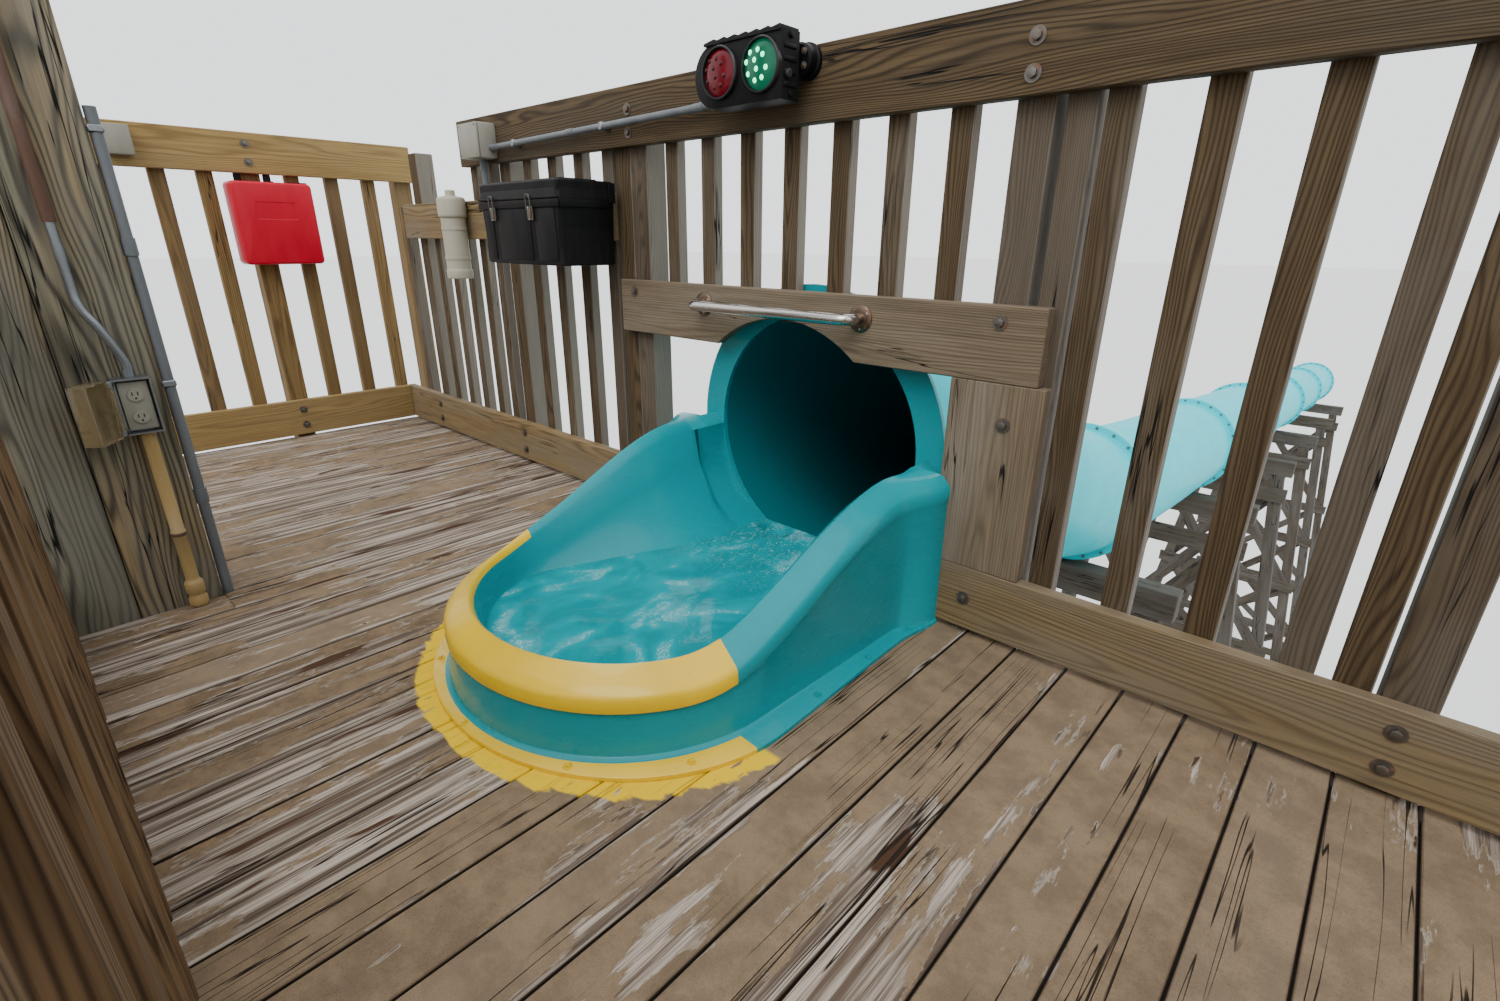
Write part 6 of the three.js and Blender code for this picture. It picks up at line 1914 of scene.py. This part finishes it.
class TOWER_OT_signal(TowerOperator, bpy.types.Operator):
    """Hang the start signal and its conduit"""
    bl_idname = "tower.signal"
    bl_label = "Start signal"

    def execute(self, context):
        build_signal()
        build_rail_conduit()
        return {"FINISHED"}


class TOWER_OT_fittings(TowerOperator, bpy.types.Operator):
    """Add the grab bar, the tube, the toolbox, the case and the outlet"""
    bl_idname = "tower.fittings"
    bl_label = "Fittings"

    def execute(self, context):
        build_grab_bar()
        build_capped_tube()
        build_toolbox()
        build_red_case()
        build_outlet()
        return {"FINISHED"}


CAMERA_PLACE = Vector((0.0, 0.0, 1.055)) + OFFSET
CAMERA_RIGHT = Vector((0.73388633, 0.67923446, 0.00716926))
CAMERA_DOWN = Vector((0.24474009, -0.25455719, -0.93557626))
CAMERA_AHEAD = Vector((-0.63365065, 0.68836123, -0.35305194))
LENS = 16.68
FLOOR_SIZE = 400.0
SKY_COLOUR = (0.93, 0.95, 0.98, 1)
SKY_STRENGTH = 1.9
SUN_STRENGTH = 1.8
SUN_SOFTNESS = 40
SUN_TURN = (38, -18, 48)


class TOWER_OT_stage(TowerOperator, bpy.types.Operator):
    """Lay a pale floor, and set the soft light and the camera"""
    bl_idname = "tower.stage"
    bl_label = "Stage"

    def execute(self, context):
        self.lay_floor(context.scene)
        self.light(context.scene)
        self.set_camera(context.scene)
        return {"FINISHED"}

    def lay_floor(self, scene):
        bm = bmesh.new()
        bmesh.ops.create_grid(bm, x_segments=1, y_segments=1, size=FLOOR_SIZE)
        mesh = bpy.data.meshes.new("floor")
        bm.to_mesh(mesh)
        bm.free()
        floor = bpy.data.objects.new("floor", mesh)
        scene.collection.objects.link(floor)
        finish = Finish("floor_paint").set(Roughness=0.9, Base_Color=(0.70, 0.70, 0.69, 1))
        mesh.materials.append(finish.material)

    def light(self, scene):
        world = bpy.data.worlds.new("studio")
        world.use_nodes = True
        sky = world.node_tree.nodes["Background"]
        sky.inputs["Color"].default_value = SKY_COLOUR
        sky.inputs["Strength"].default_value = SKY_STRENGTH
        scene.world = world
        sun = bpy.data.lights.new("soft_sun", "SUN")
        sun.energy = SUN_STRENGTH
        sun.angle = math.radians(SUN_SOFTNESS)
        light = bpy.data.objects.new("soft_sun", sun)
        light.rotation_euler = [math.radians(angle) for angle in SUN_TURN]
        scene.collection.objects.link(light)

    def set_camera(self, scene):
        lens = bpy.data.cameras.new("view")
        lens.sensor_width = 36
        lens.lens = LENS
        lens.clip_start, lens.clip_end = 0.02, 900
        camera = bpy.data.objects.new("view", lens)
        turn = Matrix((CAMERA_RIGHT, -CAMERA_DOWN, -CAMERA_AHEAD)).transposed()
        camera.matrix_world = Matrix.Translation(CAMERA_PLACE) @ turn.to_4x4()
        scene.collection.objects.link(camera)
        scene.camera = camera


STEPS = (TOWER_OT_finishes, TOWER_OT_deck, TOWER_OT_structure, TOWER_OT_rails, TOWER_OT_tub, TOWER_OT_flume,
         TOWER_OT_signal, TOWER_OT_fittings, TOWER_OT_stage)


class TOWER_PT_panel(bpy.types.Panel):
    """Settings and steps of the tower"""
    bl_idname = "TOWER_PT_panel"
    bl_label = "Slide Tower"
    bl_space_type = "VIEW_3D"
    bl_region_type = "UI"
    bl_category = "Slide Tower"

    def draw(self, context):
        layout = self.layout
        for group in (context.scene.tower_wood, context.scene.tower_slide, context.scene.tower_fittings):
            for name in group.__annotations__:
                layout.prop(group, name)
        for step in STEPS:
            layout.operator(step.bl_idname)


CLASSES = (TowerWood, TowerSlide, TowerFittings, *STEPS, TOWER_PT_panel)


def register():
    for cls in CLASSES:
        bpy.utils.register_class(cls)
    bpy.types.Scene.tower_wood = bpy.props.PointerProperty(type=TowerWood)
    bpy.types.Scene.tower_slide = bpy.props.PointerProperty(type=TowerSlide)
    bpy.types.Scene.tower_fittings = bpy.props.PointerProperty(type=TowerFittings)


def unregister():
    del bpy.types.Scene.tower_wood
    del bpy.types.Scene.tower_slide
    del bpy.types.Scene.tower_fittings
    for cls in reversed(CLASSES):
        bpy.utils.unregister_class(cls)


def main():
    register()
    for step in STEPS:
        group, name = step.bl_idname.split(".")
        getattr(getattr(bpy.ops, group), name)()


if __name__ == "__main__":
    main()
